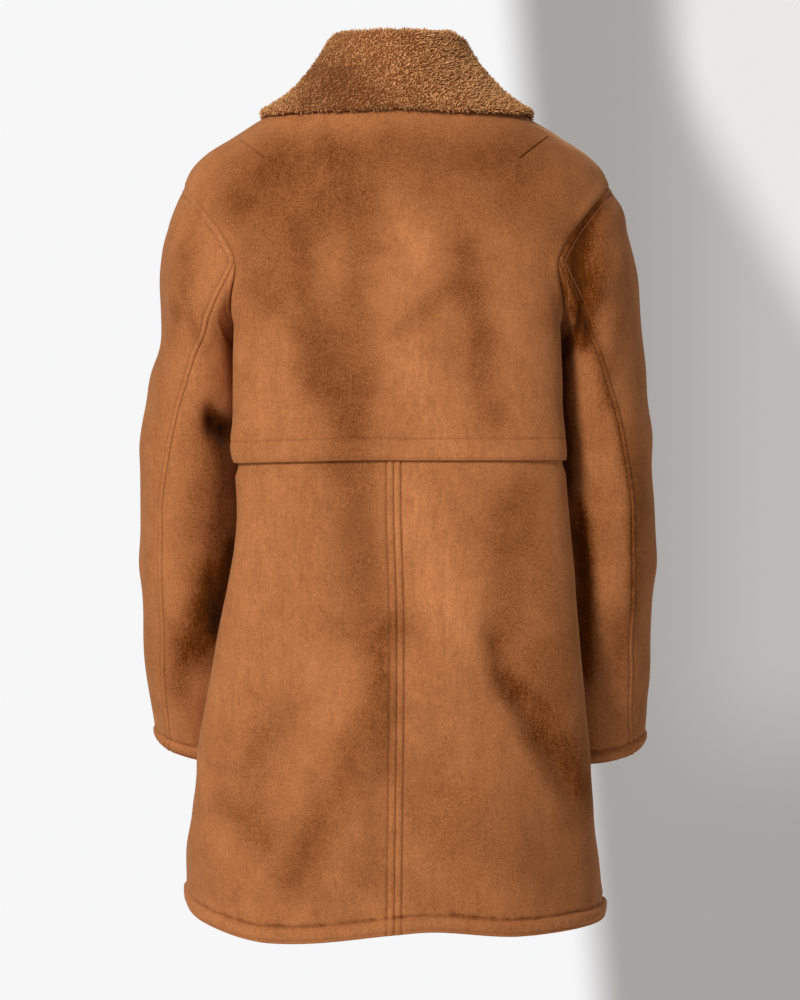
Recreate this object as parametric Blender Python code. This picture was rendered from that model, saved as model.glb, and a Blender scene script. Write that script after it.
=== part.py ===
"""Faux shearling coat in its worn shape, with no wearer.

Metres, +Z up, and the front faces -Y, so the wearer's left is +X. The origin is where the
wearer's neck and shoulders carry the coat: on the middle line, level with the back neck seam.
Every cloth piece is a wall of even thickness on one of three forms: torso, sleeve or collar.
"""

import math

import bpy
import numpy as np

# Driving sizes
CLOTH = 0.0035  # suede face with its bonded fleece back
GAP = 0.0003  # between two pieces at a seam
NECK_DROP = 0.013  # origin down to the neck seam's sides
YOKE_DROP = 0.391  # origin down to the yoke's lapped edge
YOKE_TUCK = 0.020  # how far the lower back goes up under the yoke
HEM_DROP = 0.860
SLEEVE_LENGTH = 0.585
FRONT_OVERLAP = 0.026  # each front past the middle line
FRONT_RISE = 0.060  # width over which the left front rises onto the right one

# The armhole is an egg shape when seen from the side, narrow end up
ARMHOLE_TOP = 0.112
ARMHOLE_BOTTOM = 0.262
ARMHOLE_BACK = 0.108
ARMHOLE_FRONT = 0.098
ARMHOLE_NARROWING = 0.28
ARMHOLE_STEP = 20  # degrees between the points that sleeve and body share

# Collar
UNDER_COLLAR = 0.002
FLEECE_STAND = 0.0045  # fleece and pile on the neck side
FLEECE_FALL = 0.008  # fleece and pile on the outside
FOLD_RADIUS = 0.0035  # inside the under collar's bend
COLLAR_OVERHANG = 0.003  # the fleece reaches past the under collar's edge

# Buttons
BUTTON_RADIUS = 0.0125
BUTTON_THICKNESS = 0.0042
BUTTON_DROPS = (0.185, 0.325, 0.465, 0.605)

# How finely the walls are divided
HALF_COLUMNS = 8
UPPER_SLEEVE_COLUMNS = 11
UNDER_SLEEVE_COLUMNS = 7
COLLAR_HALF_COLUMNS = 10
COLLAR_STEPS = (2, 4, 5)  # stand, fold and fall
BUTTON_STEPS = 14

SUEDE_COLOUR = (0.37, 0.130, 0.040)
FLEECE_COLOUR = (0.40, 0.165, 0.065)
HORN_COLOUR = (0.055, 0.028, 0.014)


class Table:
    """Rows of named columns, read anywhere between the rows along smooth curves."""

    def __init__(self, columns, rows):
        self.names = columns.split()
        self.values = np.array(rows, float)

    def at(self, place, column):
        values = self.values[:, self.names.index(column)]
        return smooth(np.asarray(place, float), self.values[:, 0], values)


def smooth(at, places, values):
    """A curve through values at places that doesn't overshoot them."""
    step = np.diff(places)
    slope = np.diff(values) / step
    same_way = slope[:-1] * slope[1:] > 0
    pair_sum = np.where(same_way, slope[:-1] + slope[1:], 1.0)
    middle = np.where(same_way, 2 * slope[:-1] * slope[1:] / pair_sum, 0.0)
    tangent = np.concatenate([slope[:1], middle, slope[-1:]])
    at = np.clip(at, places[0], places[-1])
    i = np.clip(np.searchsorted(places, at, side="right") - 1, 0, len(step) - 1)
    t = (at - places[i]) / step[i]
    start = values[i] * (1 + 2 * t) * (1 - t) ** 2 + tangent[i] * step[i] * t * (1 - t) ** 2
    end = values[i + 1] * t**2 * (3 - 2 * t) + tangent[i + 1] * step[i] * t**2 * (t - 1)
    return start + end


# Level sections of the torso. The drop is below the origin, the tilts raise or lower the
# front and back of a section, and dent is the share by which the hanging arm presses the
# side in, deepest at dent_middle.
TORSO = Table(
    "drop half_width back front squareness dent dent_middle tilt_back tilt_front",
    [
        (0.013, 0.076, 0.068, 0.080, 2.00, 0.00, 0.000, 0.19, 0.60),
        (0.022, 0.095, 0.075, 0.088, 1.95, 0.00, 0.000, 0.17, 0.55),
        (0.034, 0.119, 0.083, 0.096, 1.90, 0.00, 0.000, 0.15, 0.48),
        (0.048, 0.145, 0.090, 0.103, 1.90, 0.00, 0.000, 0.12, 0.40),
        (0.063, 0.169, 0.096, 0.109, 1.90, 0.00, 0.000, 0.10, 0.32),
        (0.080, 0.196, 0.102, 0.114, 1.90, 0.00, 0.000, 0.08, 0.24),
        (0.096, 0.211, 0.108, 0.118, 1.95, 0.00, 0.000, 0.05, 0.15),
        (0.112, 0.2185, 0.113, 0.122, 2.00, 0.00, 0.000, 0.03, 0.08),
        (0.130, 0.2255, 0.118, 0.126, 2.05, 0.00, 0.000, 0.02, 0.04),
        (0.150, 0.229, 0.123, 0.130, 2.10, 0.00, 0.000, 0.01, 0.02),
        (0.170, 0.226, 0.127, 0.133, 2.20, 0.02, 0.000, 0.00, 0.00),
        (0.190, 0.217, 0.130, 0.136, 2.35, 0.07, 0.000, 0.00, 0.00),
        (0.210, 0.208, 0.132, 0.138, 2.60, 0.13, 0.000, 0.00, 0.00),
        (0.230, 0.202, 0.134, 0.140, 2.85, 0.20, 0.000, 0.00, 0.00),
        (0.250, 0.199, 0.135, 0.141, 3.05, 0.25, 0.000, 0.00, 0.00),
        (0.270, 0.200, 0.136, 0.142, 3.15, 0.280, 0.000, 0.00, 0.00),
        (0.330, 0.201, 0.137, 0.144, 3.20, 0.285, 0.000, 0.00, 0.00),
        (0.391, 0.201, 0.138, 0.146, 3.20, 0.287, 0.000, 0.00, 0.00),
        (0.450, 0.204, 0.140, 0.149, 3.20, 0.292, 0.002, 0.00, 0.00),
        (0.520, 0.210, 0.143, 0.152, 3.10, 0.300, 0.000, 0.00, 0.00),
        (0.580, 0.215, 0.146, 0.155, 3.00, 0.308, -0.010, 0.00, 0.00),
        (0.640, 0.219, 0.149, 0.157, 2.90, 0.310, -0.025, 0.00, 0.00),
        (0.700, 0.221, 0.152, 0.159, 2.80, 0.290, -0.040, 0.00, 0.00),
        (0.745, 0.221, 0.154, 0.161, 2.65, 0.160, -0.045, 0.00, 0.00),
        (0.800, 0.220, 0.157, 0.163, 2.50, 0.035, -0.045, 0.00, 0.00),
        (0.860, 0.216, 0.160, 0.166, 2.35, 0.000, -0.045, 0.00, 0.00),
    ],
)
DENT_SPAN = 0.088
SHOULDER_BLEND = 0.030  # from the front's tilt to the back's

# How the worn hem hangs: how far it is above its own level, round the torso from the left
# side over the back. The cloth above it follows, up to the drop where it hangs level.
HEM_LINE = Table(
    "angle rise",
    [
        (-180, 0.003),
        (-130, 0.000),
        (-90, -0.002),
        (-40, 0.001),
        (0, 0.019),
        (22, 0.006),
        (48, -0.007),
        (90, 0.004),
        (102, 0.0065),
        (132, 0.000),
        (180, 0.003),
    ],
)
LEVEL_DROP = 0.700

# Sections of the left sleeve below the armhole: the outer and inner ends of each, its middle
# and half depth from front to back, how much lower its back is, and where the seams run,
# in degrees round the sleeve from its outer end over the back.
SLEEVE = Table(
    "along out_x out_drop in_x in_drop middle depth lean back_seam front_seam",
    [
        (0.00, 0.2185, 0.112, 0.1460, 0.262, 0.000, 0.100, 0.00, 100, -120),
        (0.06, 0.2355, 0.148, 0.1595, 0.282, 0.002, 0.095, 0.00, 100, -120),
        (0.14, 0.2420, 0.192, 0.1580, 0.303, 0.002, 0.087, 0.00, 98, -120),
        (0.23, 0.2455, 0.248, 0.1555, 0.331, 0.003, 0.080, 0.00, 85, -120),
        (0.34, 0.2545, 0.318, 0.1535, 0.372, 0.004, 0.074, 0.00, 72, -121),
        (0.46, 0.2625, 0.390, 0.1535, 0.422, 0.005, 0.070, 0.00, 65, -123),
        (0.57, 0.2645, 0.455, 0.1540, 0.477, 0.004, 0.067, -0.02, 60, -125),
        (0.68, 0.2620, 0.520, 0.1550, 0.533, -0.002, 0.064, -0.06, 56, -126),
        (0.79, 0.2605, 0.585, 0.1570, 0.593, -0.014, 0.060, -0.12, 55.5, -127),
        (0.90, 0.2545, 0.638, 0.1620, 0.650, -0.031, 0.054, -0.17, 56, -127),
        (1.00, 0.2490, 0.674, 0.1680, 0.700, -0.047, 0.049, -0.20, 54, -127),
    ],
)
SLEEVE_JOIN = 0.06  # share of the length over which it leaves the armhole's own shape
SLEEVE_PINCH = 0.14  # how much narrower the sleeve is on its inner side

# The hem and the cuffs are turned up and stitched down, and stand out as a thicker band.
TURN = Table(
    "from_edge thicker",
    [
        (0.0, 0.0010),
        (0.004, 0.0032),
        (0.012, 0.0030),
        (0.016, 0.0000),
    ],
)

# The collar from the middle back to its left front end: where its seam and the fall's edge
# are round the torso, the edge's drop and clearance, and the stand's height, its lean in
# and the fall's outward curve.
COLLAR = Table(
    "along base_angle edge_angle edge_drop clear stand lean curve",
    [
        (0.00, 90, 90, 0.048, 0.0015, 0.037, 0.003, -0.002),
        (0.18, 58, 57, 0.050, 0.0015, 0.039, 0.006, -0.005),
        (0.36, 26, 27, 0.049, 0.0020, 0.044, 0.014, -0.012),
        (0.52, -4, 0, 0.044, 0.0020, 0.045, 0.017, -0.015),
        (0.70, -38, -27, 0.054, 0.0040, 0.042, 0.012, -0.011),
        (0.86, -66, -46, 0.086, 0.0060, 0.037, 0.005, -0.004),
        (1.00, -87, -58, 0.112, 0.0062, 0.030, 0.002, 0.000),
    ],
)

# Broad soft folds of the torso: a line from its start to its end, half its width, and its
# height, which is negative for a trough. Places are metres left of the middle and above the
# origin.
TORSO_FOLDS = [
    ("back", (0.110, -0.700), (0.020, -0.520), 0.040, -0.0050),
    ("back", (0.060, -0.800), (0.004, -0.640), 0.034, 0.0040),
    ("back", (-0.100, -0.560), (-0.175, -0.800), 0.036, -0.0055),
    ("back", (-0.050, -0.620), (-0.120, -0.820), 0.040, 0.0040),
    ("back", (0.140, -0.480), (0.150, -0.660), 0.030, 0.0035),
    ("back", (0.060, -0.180), (0.050, -0.330), 0.036, -0.0030),
    ("back", (-0.075, -0.170), (-0.070, -0.350), 0.036, -0.0030),
    ("front", (0.130, -0.300), (0.070, -0.480), 0.036, -0.0045),
    ("front", (-0.135, -0.320), (-0.080, -0.520), 0.036, -0.0045),
    ("front", (0.110, -0.560), (0.140, -0.780), 0.040, 0.0045),
    ("front", (-0.100, -0.600), (-0.140, -0.800), 0.038, 0.0045),
]

# Folds of the sleeves in the same way, in degrees round the sleeve and shares of its length.
SLEEVE_FOLDS = [
    ((60, 0.30), (20, 0.36), (26, 0.045), -0.0050),
    ((110, 0.44), (60, 0.52), (24, 0.040), 0.0035),
    ((-70, 0.50), (-20, 0.46), (26, 0.045), -0.0045),
    ((-60, 0.60), (0, 0.64), (26, 0.040), 0.0035),
    ((40, 0.74), (90, 0.80), (26, 0.045), -0.0035),
]


def unit(vectors):
    return vectors / np.linalg.norm(vectors, axis=-1, keepdims=True)


def step_up(share):
    """From 0 to 1, level at both ends."""
    share = np.clip(share, 0, 1)
    return share**2 * (3 - 2 * share)


def soft_line(across, down, start, end, width):
    """1 on the line from start to end, fading over width to its sides and past its ends."""
    way = np.subtract(end, start)
    share = ((across - start[0]) * way[0] + (down - start[1]) * way[1]) / (way @ way)
    held = np.clip(share, 0, 1)
    away = np.hypot(across - start[0] - held * way[0], down - start[1] - held * way[1])
    return np.exp(-((away / width) ** 2))


def torso_point(angle, drop):
    """A point of the torso form; the angle runs from the wearer's left towards the back."""
    angle, drop = np.broadcast_arrays(np.radians(angle), np.asarray(drop, float))
    across, along = np.cos(angle), np.sin(angle)
    depth = np.where(along >= 0, TORSO.at(drop, "back"), TORSO.at(drop, "front"))
    power = TORSO.at(drop, "squareness")
    size = np.abs(across / TORSO.at(drop, "half_width")) ** power + np.abs(along / depth) ** power
    x, y = across * size ** (-1 / power), along * size ** (-1 / power)
    back_share = step_up(y / SHOULDER_BLEND / 2 + 0.5)
    tilt_back, tilt_front = TORSO.at(drop, "tilt_back"), TORSO.at(drop, "tilt_front")
    tilt = tilt_front + (tilt_back - tilt_front) * back_share
    pressed = np.exp(-(((y - TORSO.at(drop, "dent_middle")) / DENT_SPAN) ** 2))
    turn = (np.degrees(angle) + 180) % 360 - 180
    rise = HEM_LINE.at(turn, "rise") * step_up((drop - LEVEL_DROP) / (HEM_DROP - LEVEL_DROP))
    x = x * (1 - TORSO.at(drop, "dent") * pressed)
    return np.stack([x, y, tilt * y + rise - drop], axis=-1)


def torso_folds(point):
    """Height of the folds at points of the form; the sides under the arms have none."""
    height = np.zeros(point.shape[:-1])
    for side, start, end, width, rise in TORSO_FOLDS:
        outward = point[..., 1] if side == "back" else -point[..., 1]
        line = soft_line(point[..., 0], point[..., 2], start, end, width)
        height += rise * line * step_up((outward - 0.075) / 0.04)
    return height


def torso_normal(angle, drop):
    turning = torso_point(angle + 0.5, drop) - torso_point(angle - 0.5, drop)
    falling = torso_point(angle, drop + 0.001) - torso_point(angle, drop - 0.001)
    return unit(np.cross(falling, turning))


def torso_surface(angle, drop, lift=0.0):
    """Points and normals of the torso with its folds, raised by lift."""
    bare, normal = torso_point(angle, drop), torso_normal(angle, drop)
    return bare + normal * np.asarray(torso_folds(bare) + lift)[..., None], normal


def angle_at_depth(depth, drop):
    """The torso's angle, on the wearer's left, at a depth from front to back."""
    trial = np.linspace(-90, 90, 721)
    depth, drop = np.broadcast_arrays(np.asarray(depth, float), np.asarray(drop, float))
    found = np.empty(depth.shape)
    for i in np.ndindex(depth.shape):
        found[i] = np.interp(depth[i], torso_point(trial, drop[i])[:, 1], trial)
    return found


def angle_at_width(width, drop):
    """The torso's angle, on the front, in each row, at a distance left of the middle."""
    trial = np.linspace(-180, 0, 1441)
    return np.array([np.interp(width, torso_point(trial, d)[:, 0], trial) for d in drop])


def armhole_drop(turn):
    """Drop of a point of the armhole, by degrees round it from its top over the back."""
    middle, half = (ARMHOLE_TOP + ARMHOLE_BOTTOM) / 2, (ARMHOLE_BOTTOM - ARMHOLE_TOP) / 2
    return middle - half * np.cos(np.radians(turn))


def armhole_turn(drop):
    middle, half = (ARMHOLE_TOP + ARMHOLE_BOTTOM) / 2, (ARMHOLE_BOTTOM - ARMHOLE_TOP) / 2
    return np.degrees(np.arccos(np.clip((middle - drop) / half, -1, 1)))


def armhole_place(turn):
    """Angle and drop on the torso form of a point of the left armhole."""
    sine, cosine = np.sin(np.radians(turn)), np.cos(np.radians(turn))
    depth = np.where(sine >= 0, ARMHOLE_BACK, ARMHOLE_FRONT) * sine
    drop = armhole_drop(turn)
    return angle_at_depth(depth * (1 - ARMHOLE_NARROWING * (1 + cosine) / 2), drop), drop


def sleeve_point(turn, along):
    """A point of the left sleeve, from the armhole at 0 to the cuff at 1."""
    turn, along = np.broadcast_arrays(np.asarray(turn, float), np.asarray(along, float))
    held = np.maximum(along, SLEEVE_JOIN)
    out_x, out_drop = SLEEVE.at(held, "out_x"), SLEEVE.at(held, "out_drop")
    in_x, in_drop = SLEEVE.at(held, "in_x"), SLEEVE.at(held, "in_drop")
    cosine, sine = np.cos(np.radians(turn)), np.sin(np.radians(turn))
    depth = SLEEVE.at(held, "depth") * sine * (1 - SLEEVE_PINCH * (1 - cosine) / 2)
    x = (out_x + in_x) / 2 + (out_x - in_x) / 2 * cosine
    drop = (out_drop + in_drop) / 2 + (out_drop - in_drop) / 2 * cosine
    y, z = SLEEVE.at(held, "middle") + depth, SLEEVE.at(held, "lean") * depth - drop
    ring = np.stack([x, y, z], axis=-1)
    root = torso_point(*armhole_place(turn))
    return root + (ring - root) * np.clip(along / SLEEVE_JOIN, 0, 1)[..., None]


def sleeve_normal(turn, along):
    after, before = np.minimum(along + 0.004, 1.0), np.maximum(along - 0.004, 0.0)
    turning = sleeve_point(turn + 1, along) - sleeve_point(turn - 1, along)
    return unit(np.cross(sleeve_point(turn, after) - sleeve_point(turn, before), turning))


def sleeve_surface(turn, along):
    """Points and normals of the left sleeve with its folds, which fade at both ends."""
    bare, normal = sleeve_point(turn, along), sleeve_normal(turn, along)
    height = np.zeros(bare.shape[:-1])
    for start, end, (wide, long), rise in SLEEVE_FOLDS:
        start, end = (start[0] / wide, start[1] / long), (end[0] / wide, end[1] / long)
        height += rise * soft_line(turn / wide, along / long, start, end, 1.0)
    height *= step_up(along / 0.14) * step_up((1 - along) / 0.10)
    return bare + normal * height[..., None], normal


def armhole_normals(turn):
    """Directions of the body's and sleeve's walls along their seam. Over the shoulder they
    meet in one plane, and under the arm, where the seam is a fold, each keeps its own."""
    body = torso_normal(*armhole_place(turn))
    sleeve = sleeve_normal(turn, np.full(np.shape(turn), 0.02))
    agree = step_up(((body * sleeve).sum(axis=-1) - 0.5) / 0.4)[..., None]
    shared = unit(body + sleeve)
    return unit(body + (shared - body) * agree), unit(sleeve + (shared - sleeve) * agree)


def collar_curve(along):
    """The under side of the collar at one place: up the stand, over the fold, down the fall."""
    base, lean = COLLAR.at(along, "base_angle"), COLLAR.at(along, "lean")
    seam = torso_point(base, NECK_DROP) + np.array([0, 0, 3 * GAP])
    around = torso_point(base + 2, NECK_DROP) - torso_point(base - 2, NECK_DROP)
    outward = unit(np.array([around[1], -around[0], 0.0]))
    upward = np.array([0.0, 0.0, 1.0])
    edge_place = COLLAR.at(along, "edge_angle"), COLLAR.at(along, "edge_drop")
    edge = torso_surface(*edge_place, COLLAR.at(along, "clear"))[0]
    stand_top = seam + upward * (COLLAR.at(along, "stand") - FOLD_RADIUS) - outward * lean
    fall_top = stand_top + outward * 2 * FOLD_RADIUS
    stand_steps, fold_steps, fall_steps = COLLAR_STEPS
    line = [seam + (stand_top - seam) * t for t in np.linspace(0, 1, stand_steps, endpoint=False)]
    for bend in np.radians(np.linspace(180, 0, fold_steps, endpoint=False)):
        way = outward * (1 + math.cos(bend)) + upward * math.sin(bend)
        line.append(stand_top + way * FOLD_RADIUS)
    fall = edge - fall_top
    away = unit(np.cross(fall, np.cross(upward, fall)))
    control = (fall_top + edge) / 2 + away * COLLAR.at(along, "curve")
    for t in np.linspace(0, 1, fall_steps + 1):
        line.append(fall_top * (1 - t) ** 2 + control * 2 * t * (1 - t) + edge * t**2)
    return np.array(line)


def material(name, colour, roughness):
    made = bpy.data.materials.new(name)
    made.use_nodes = True
    shader = made.node_tree.nodes["Principled BSDF"]
    shader.inputs["Base Color"].default_value = (*colour, 1)
    shader.inputs["Roughness"].default_value = roughness
    shader.inputs["Metallic"].default_value = 0.0
    return made


def signed_volume(mesh):
    mesh.calc_loop_triangles()
    points = np.array([v.co for v in mesh.vertices])
    return np.linalg.det(points[np.array([t.vertices for t in mesh.loop_triangles])]).sum() / 6


def add_solid(name, points, faces, finish):
    mesh = bpy.data.meshes.new(name)
    mesh.from_pydata(np.asarray(points).tolist(), [], faces)
    if signed_volume(mesh) < 0:
        mesh.flip_normals()
    mesh.shade_smooth()
    mesh.set_sharp_from_angle(angle=math.radians(50))
    mesh.materials.append(finish)
    bpy.context.scene.collection.objects.link(bpy.data.objects.new(name, mesh))


def add_wall(name, outer, inner, finish):
    """A closed solid between two grids of points that face each other."""
    count = outer.shape[0] * outer.shape[1]
    index = np.arange(count).reshape(outer.shape[:2])
    faces = []
    for row, below in zip(index, index[1:]):
        for a, b, c, d in zip(row, row[1:], below[1:], below):
            faces.append((a, d, c, b))
            faces.append((a + count, b + count, c + count, d + count))
    points = np.concatenate([outer.reshape(-1, 3), inner.reshape(-1, 3)])
    rim = [*index[0, :-1], *index[:-1, -1], *index[-1, :0:-1], *index[:0:-1, 0]]
    for a, b in zip(rim, rim[1:] + rim[:1]):
        # The diagonal starts at the higher end, so two pieces' rims split alike at a seam
        if points[a, 2] > points[b, 2]:
            faces += [(a, b, b + count), (a, b + count, a + count)]
        else:
            faces += [(a, b, a + count), (b, b + count, a + count)]
    add_solid(name, points, faces, finish)


def across_seam(line, beside):
    """Unit steps from a line of points towards the one beside it, square to the line."""
    way = unit(np.gradient(line, axis=0))
    step = beside - line
    return unit(step - way * (step * way).sum(axis=-1, keepdims=True))


def mirrored(grid):
    """The same grid on the wearer's other side."""
    return grid * np.array([-1.0, 1.0, 1.0])


def turned_up(from_edge):
    """How much thicker the cloth is outside where it is turned up; inside it is half that."""
    return np.where(from_edge < TURN.values[-1, 0], TURN.at(from_edge, "thicker"), 0.0)


def turned_wall(outer, normal, from_edge):
    """The two faces of a wall from its smooth outer face, with the turned edge's band."""
    more = normal * turned_up(from_edge)[:, None, None]
    return outer + more, outer - normal * CLOTH - more / 2


def body_rows():
    """Drops of the body's rows; those along the armhole are the sleeve's own points."""
    shoulder = np.array([0.013, 0.023, 0.038, 0.060, 0.088])
    armhole = armhole_drop(np.arange(0, 181, ARMHOLE_STEP))
    chest = np.array([0.292, 0.332, YOKE_DROP - YOKE_TUCK, YOKE_DROP])
    skirt = np.array([0.435, 0.490, 0.550, 0.610, 0.670, 0.730, 0.785, 0.822])
    return shoulder, armhole, chest, np.concatenate([skirt, HEM_DROP - TURN.values[::-1, 0]])


def side_edge(drop, sign):
    """A panel's side edge by shoulder seam, armhole and side seam; sign is 1 on the back."""
    inside = (drop > ARMHOLE_TOP) & (drop < ARMHOLE_BOTTOM)
    return np.where(inside, armhole_place(sign * armhole_turn(drop))[0], 0.0)


def spread_columns(drop, start, end, columns):
    """Angles of evenly spaced columns in each row, with half a gap left at both ends."""
    rows = []
    for d, a, b in zip(drop, start, end):
        trial = np.linspace(a, b, 400)
        step = np.linalg.norm(np.diff(torso_point(trial, d), axis=0), axis=1)
        length = np.concatenate([[0], np.cumsum(step)])
        wanted = np.linspace(GAP / 2, length[-1] - GAP / 2, columns + 1)
        rows.append(np.interp(wanted, length, trial))
    return np.array(rows)


def add_body_panel(name, drop, angles, armhole_signs, finish, lift=None):
    """A panel of the body from its columns' angles in each row. The signs say for both side
    edges whether they have an armhole: 1 on the back, -1 on the front, 0 for none."""
    drops = np.broadcast_to(drop[:, None], angles.shape)
    raised = 0.0 if lift is None else lift(torso_point(angles, drops), drops)
    outer, normal = torso_surface(angles, drops, raised)
    in_armhole = (drop > ARMHOLE_TOP - GAP) & (drop < ARMHOLE_BOTTOM + GAP)
    for column, sign in zip((0, -1), armhole_signs):
        if sign and in_armhole.any():
            shared = armhole_normals(sign * armhole_turn(drop[in_armhole]))[0]
            on_left = outer[in_armhole, column, :1] > 0
            normal[in_armhole, column] = np.where(on_left, shared, mirrored(shared))
    add_wall(name, *turned_wall(outer, normal, HEM_DROP - drop), finish)


def add_back(cloth):
    shoulder, armhole, chest, skirt = body_rows()
    yoke = np.concatenate([shoulder, armhole, chest])
    left = side_edge(yoke, 1)

    def lap(_, drop):
        share = (drop - YOKE_DROP + 3 * YOKE_TUCK) / (2 * YOKE_TUCK)
        return (CLOTH + 2 * GAP) * step_up(share)

    whole = spread_columns(yoke, 180 - left, left, 2 * HALF_COLUMNS)
    add_body_panel("back_yoke", yoke, whole, (1, 1), cloth, lap)
    lower = np.concatenate([chest[2:], skirt])
    left_half = spread_columns(lower, np.full(len(lower), 90.0), np.zeros(len(lower)), HALF_COLUMNS)
    add_body_panel("back_lower_left", lower, left_half, (0, 0), cloth)
    add_body_panel("back_lower_right", lower, 180 - left_half, (0, 0), cloth)


def add_fronts(cloth):
    drop = np.concatenate(body_rows())
    lap = [angle_at_width(width, drop) for width in (FRONT_OVERLAP, 0.0, -FRONT_OVERLAP)]
    own = spread_columns(drop, side_edge(drop, -1), lap[0], HALF_COLUMNS - 1)
    angles = np.column_stack([own, *lap[1:]])

    def over(point, drop):
        share = (FRONT_RISE - point[..., 0]) / (FRONT_RISE - FRONT_OVERLAP - 0.002)
        return (CLOTH + 2 * GAP + 1.6 * turned_up(HEM_DROP - drop)) * step_up(share)

    add_body_panel("front_left", drop, angles, (-1, 0), cloth, over)
    add_body_panel("front_right", drop, -180 - angles, (-1, 0), cloth)


def add_sleeve_panels(name, start_seam, end_seam, columns, finish):
    """One of the two strips of a sleeve, between two seams, for the left and the right."""
    rows = np.array([0, 0.012, 0.032, 0.06, 0.11, 0.19, 0.29, 0.40, 0.51, 0.62, 0.73, 0.83, 0.92])
    along = np.concatenate([rows, 1 - TURN.values[::-1, 0] / SLEEVE_LENGTH])
    start, end = SLEEVE.at(along, start_seam), SLEEVE.at(along, end_seam)
    end = np.where(end < start, end + 360, end)
    turns = start[:, None] + (end - start)[:, None] * np.linspace(0, 1, columns + 1)
    outer, normal = sleeve_surface(turns, np.broadcast_to(along[:, None], turns.shape))
    normal[0] = armhole_normals(turns[0])[1]
    off_body = torso_normal(*armhole_place(turns[0]))
    outer[0] += (across_seam(outer[0], outer[1]) + off_body) * GAP
    for column, beside in ((0, 1), (-1, -2)):
        outer[:, column] += across_seam(outer[:, column], outer[:, beside]) * GAP / 2
    outer, inner = turned_wall(outer, normal, (1 - along) * SLEEVE_LENGTH)
    add_wall(f"sleeve_left_{name}", outer, inner, finish)
    add_wall(f"sleeve_right_{name}", mirrored(outer), mirrored(inner), finish)


def add_collar(cloth, fleece):
    half = [collar_curve(along) for along in np.linspace(0, 1, COLLAR_HALF_COLUMNS + 1)]
    under = np.array([mirrored(line) for line in half[:0:-1]] + half).transpose(1, 0, 2)
    normal = unit(np.cross(np.gradient(under, axis=0), np.gradient(under, axis=1)))
    normal *= -np.sign(normal[0, COLLAR_HALF_COLUMNS, 1])
    add_wall("collar_under", under, under + normal * UNDER_COLLAR, cloth)
    stand_steps, fold_steps, _ = COLLAR_STEPS
    share = np.clip((np.arange(len(under)) - stand_steps) / fold_steps, 0, 1)
    pile = FLEECE_STAND + (FLEECE_FALL - FLEECE_STAND) * share
    lower = under + normal * (UNDER_COLLAR + GAP * 1.5)
    lower[-1] += unit(lower[-1] - lower[-2]) * COLLAR_OVERHANG
    add_wall("collar_fleece", lower, lower + normal * pile[:, None, None], fleece)


def add_buttons(horn):
    """Turned buttons with a raised rim, down the middle of the left front."""
    profile = [(0.62, 0.55), (0.74, 1.0), (0.90, 1.0), (1.0, 0.62), (0.94, 0.0)]
    turns = np.radians(np.arange(BUTTON_STEPS) * 360 / BUTTON_STEPS)
    for number, drop in enumerate(BUTTON_DROPS, start=1):
        seat, normal = torso_surface(-90.0, drop, CLOTH + 5 * GAP)
        across = unit(np.cross([0.0, 0.0, 1.0], normal))
        around = np.cos(turns)[:, None] * across + np.sin(turns)[:, None] * np.cross(normal, across)
        points = []
        for share, height in profile:
            points += list(seat + normal * height * BUTTON_THICKNESS + around * share * BUTTON_RADIUS)
        last = len(points) - BUTTON_STEPS
        faces = [tuple(range(BUTTON_STEPS)), tuple(range(last, last + BUTTON_STEPS))[::-1]]
        for start in range(0, last, BUTTON_STEPS):
            for k in range(BUTTON_STEPS):
                a, b = start + k, start + (k + 1) % BUTTON_STEPS
                faces.append((b, a, a + BUTTON_STEPS, b + BUTTON_STEPS))
        add_solid(f"button_{number}", points, faces, horn)


def main():
    for old in list(bpy.data.objects):
        bpy.data.objects.remove(old)
    cloth = material("suede_cloth", SUEDE_COLOUR, 0.9)
    fleece = material("collar_fleece", FLEECE_COLOUR, 1.0)
    horn = material("button_horn", HORN_COLOUR, 0.35)
    add_back(cloth)
    add_fronts(cloth)
    add_sleeve_panels("upper", "front_seam", "back_seam", UPPER_SLEEVE_COLUMNS, cloth)
    add_sleeve_panels("under", "back_seam", "front_seam", UNDER_SLEEVE_COLUMNS, cloth)
    add_collar(cloth, fleece)
    add_buttons(horn)


main()
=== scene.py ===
import math

import bpy
import numpy as np
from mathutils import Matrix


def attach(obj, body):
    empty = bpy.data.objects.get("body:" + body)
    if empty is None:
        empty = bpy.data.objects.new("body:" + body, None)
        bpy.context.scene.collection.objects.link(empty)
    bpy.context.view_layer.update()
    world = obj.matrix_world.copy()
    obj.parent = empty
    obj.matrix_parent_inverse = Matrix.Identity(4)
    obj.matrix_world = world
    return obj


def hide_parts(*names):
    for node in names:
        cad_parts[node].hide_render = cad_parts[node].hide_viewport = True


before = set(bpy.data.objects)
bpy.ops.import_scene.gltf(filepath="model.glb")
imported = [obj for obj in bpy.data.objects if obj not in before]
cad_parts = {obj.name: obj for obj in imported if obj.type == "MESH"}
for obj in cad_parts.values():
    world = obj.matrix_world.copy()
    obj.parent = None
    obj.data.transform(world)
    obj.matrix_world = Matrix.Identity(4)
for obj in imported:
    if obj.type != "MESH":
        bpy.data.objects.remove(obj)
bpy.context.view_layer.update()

# The coat's forms, as the CAD has them, in metres from the back neck seam

coat = {
    "cloth": 0.0035,
    "gap": 0.0003,
    "seamGap": 0.0,  # between two edges that are sewn together
    "neckDrop": 0.013,
    "yokeDrop": 0.391,
    "yokeTuck": 0.020,
    "hemDrop": 0.860,
    "sleeveLength": 0.585,
    "frontOverlap": 0.026,
    "frontRise": 0.060,
    "gridStep": 0.0048,
    "facing": 0.030,  # suede turned to the inside along hem, cuffs and front edges
}

armhole = {"top": 0.112, "bottom": 0.262, "back": 0.108, "front": 0.098, "narrowing": 0.28}

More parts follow.
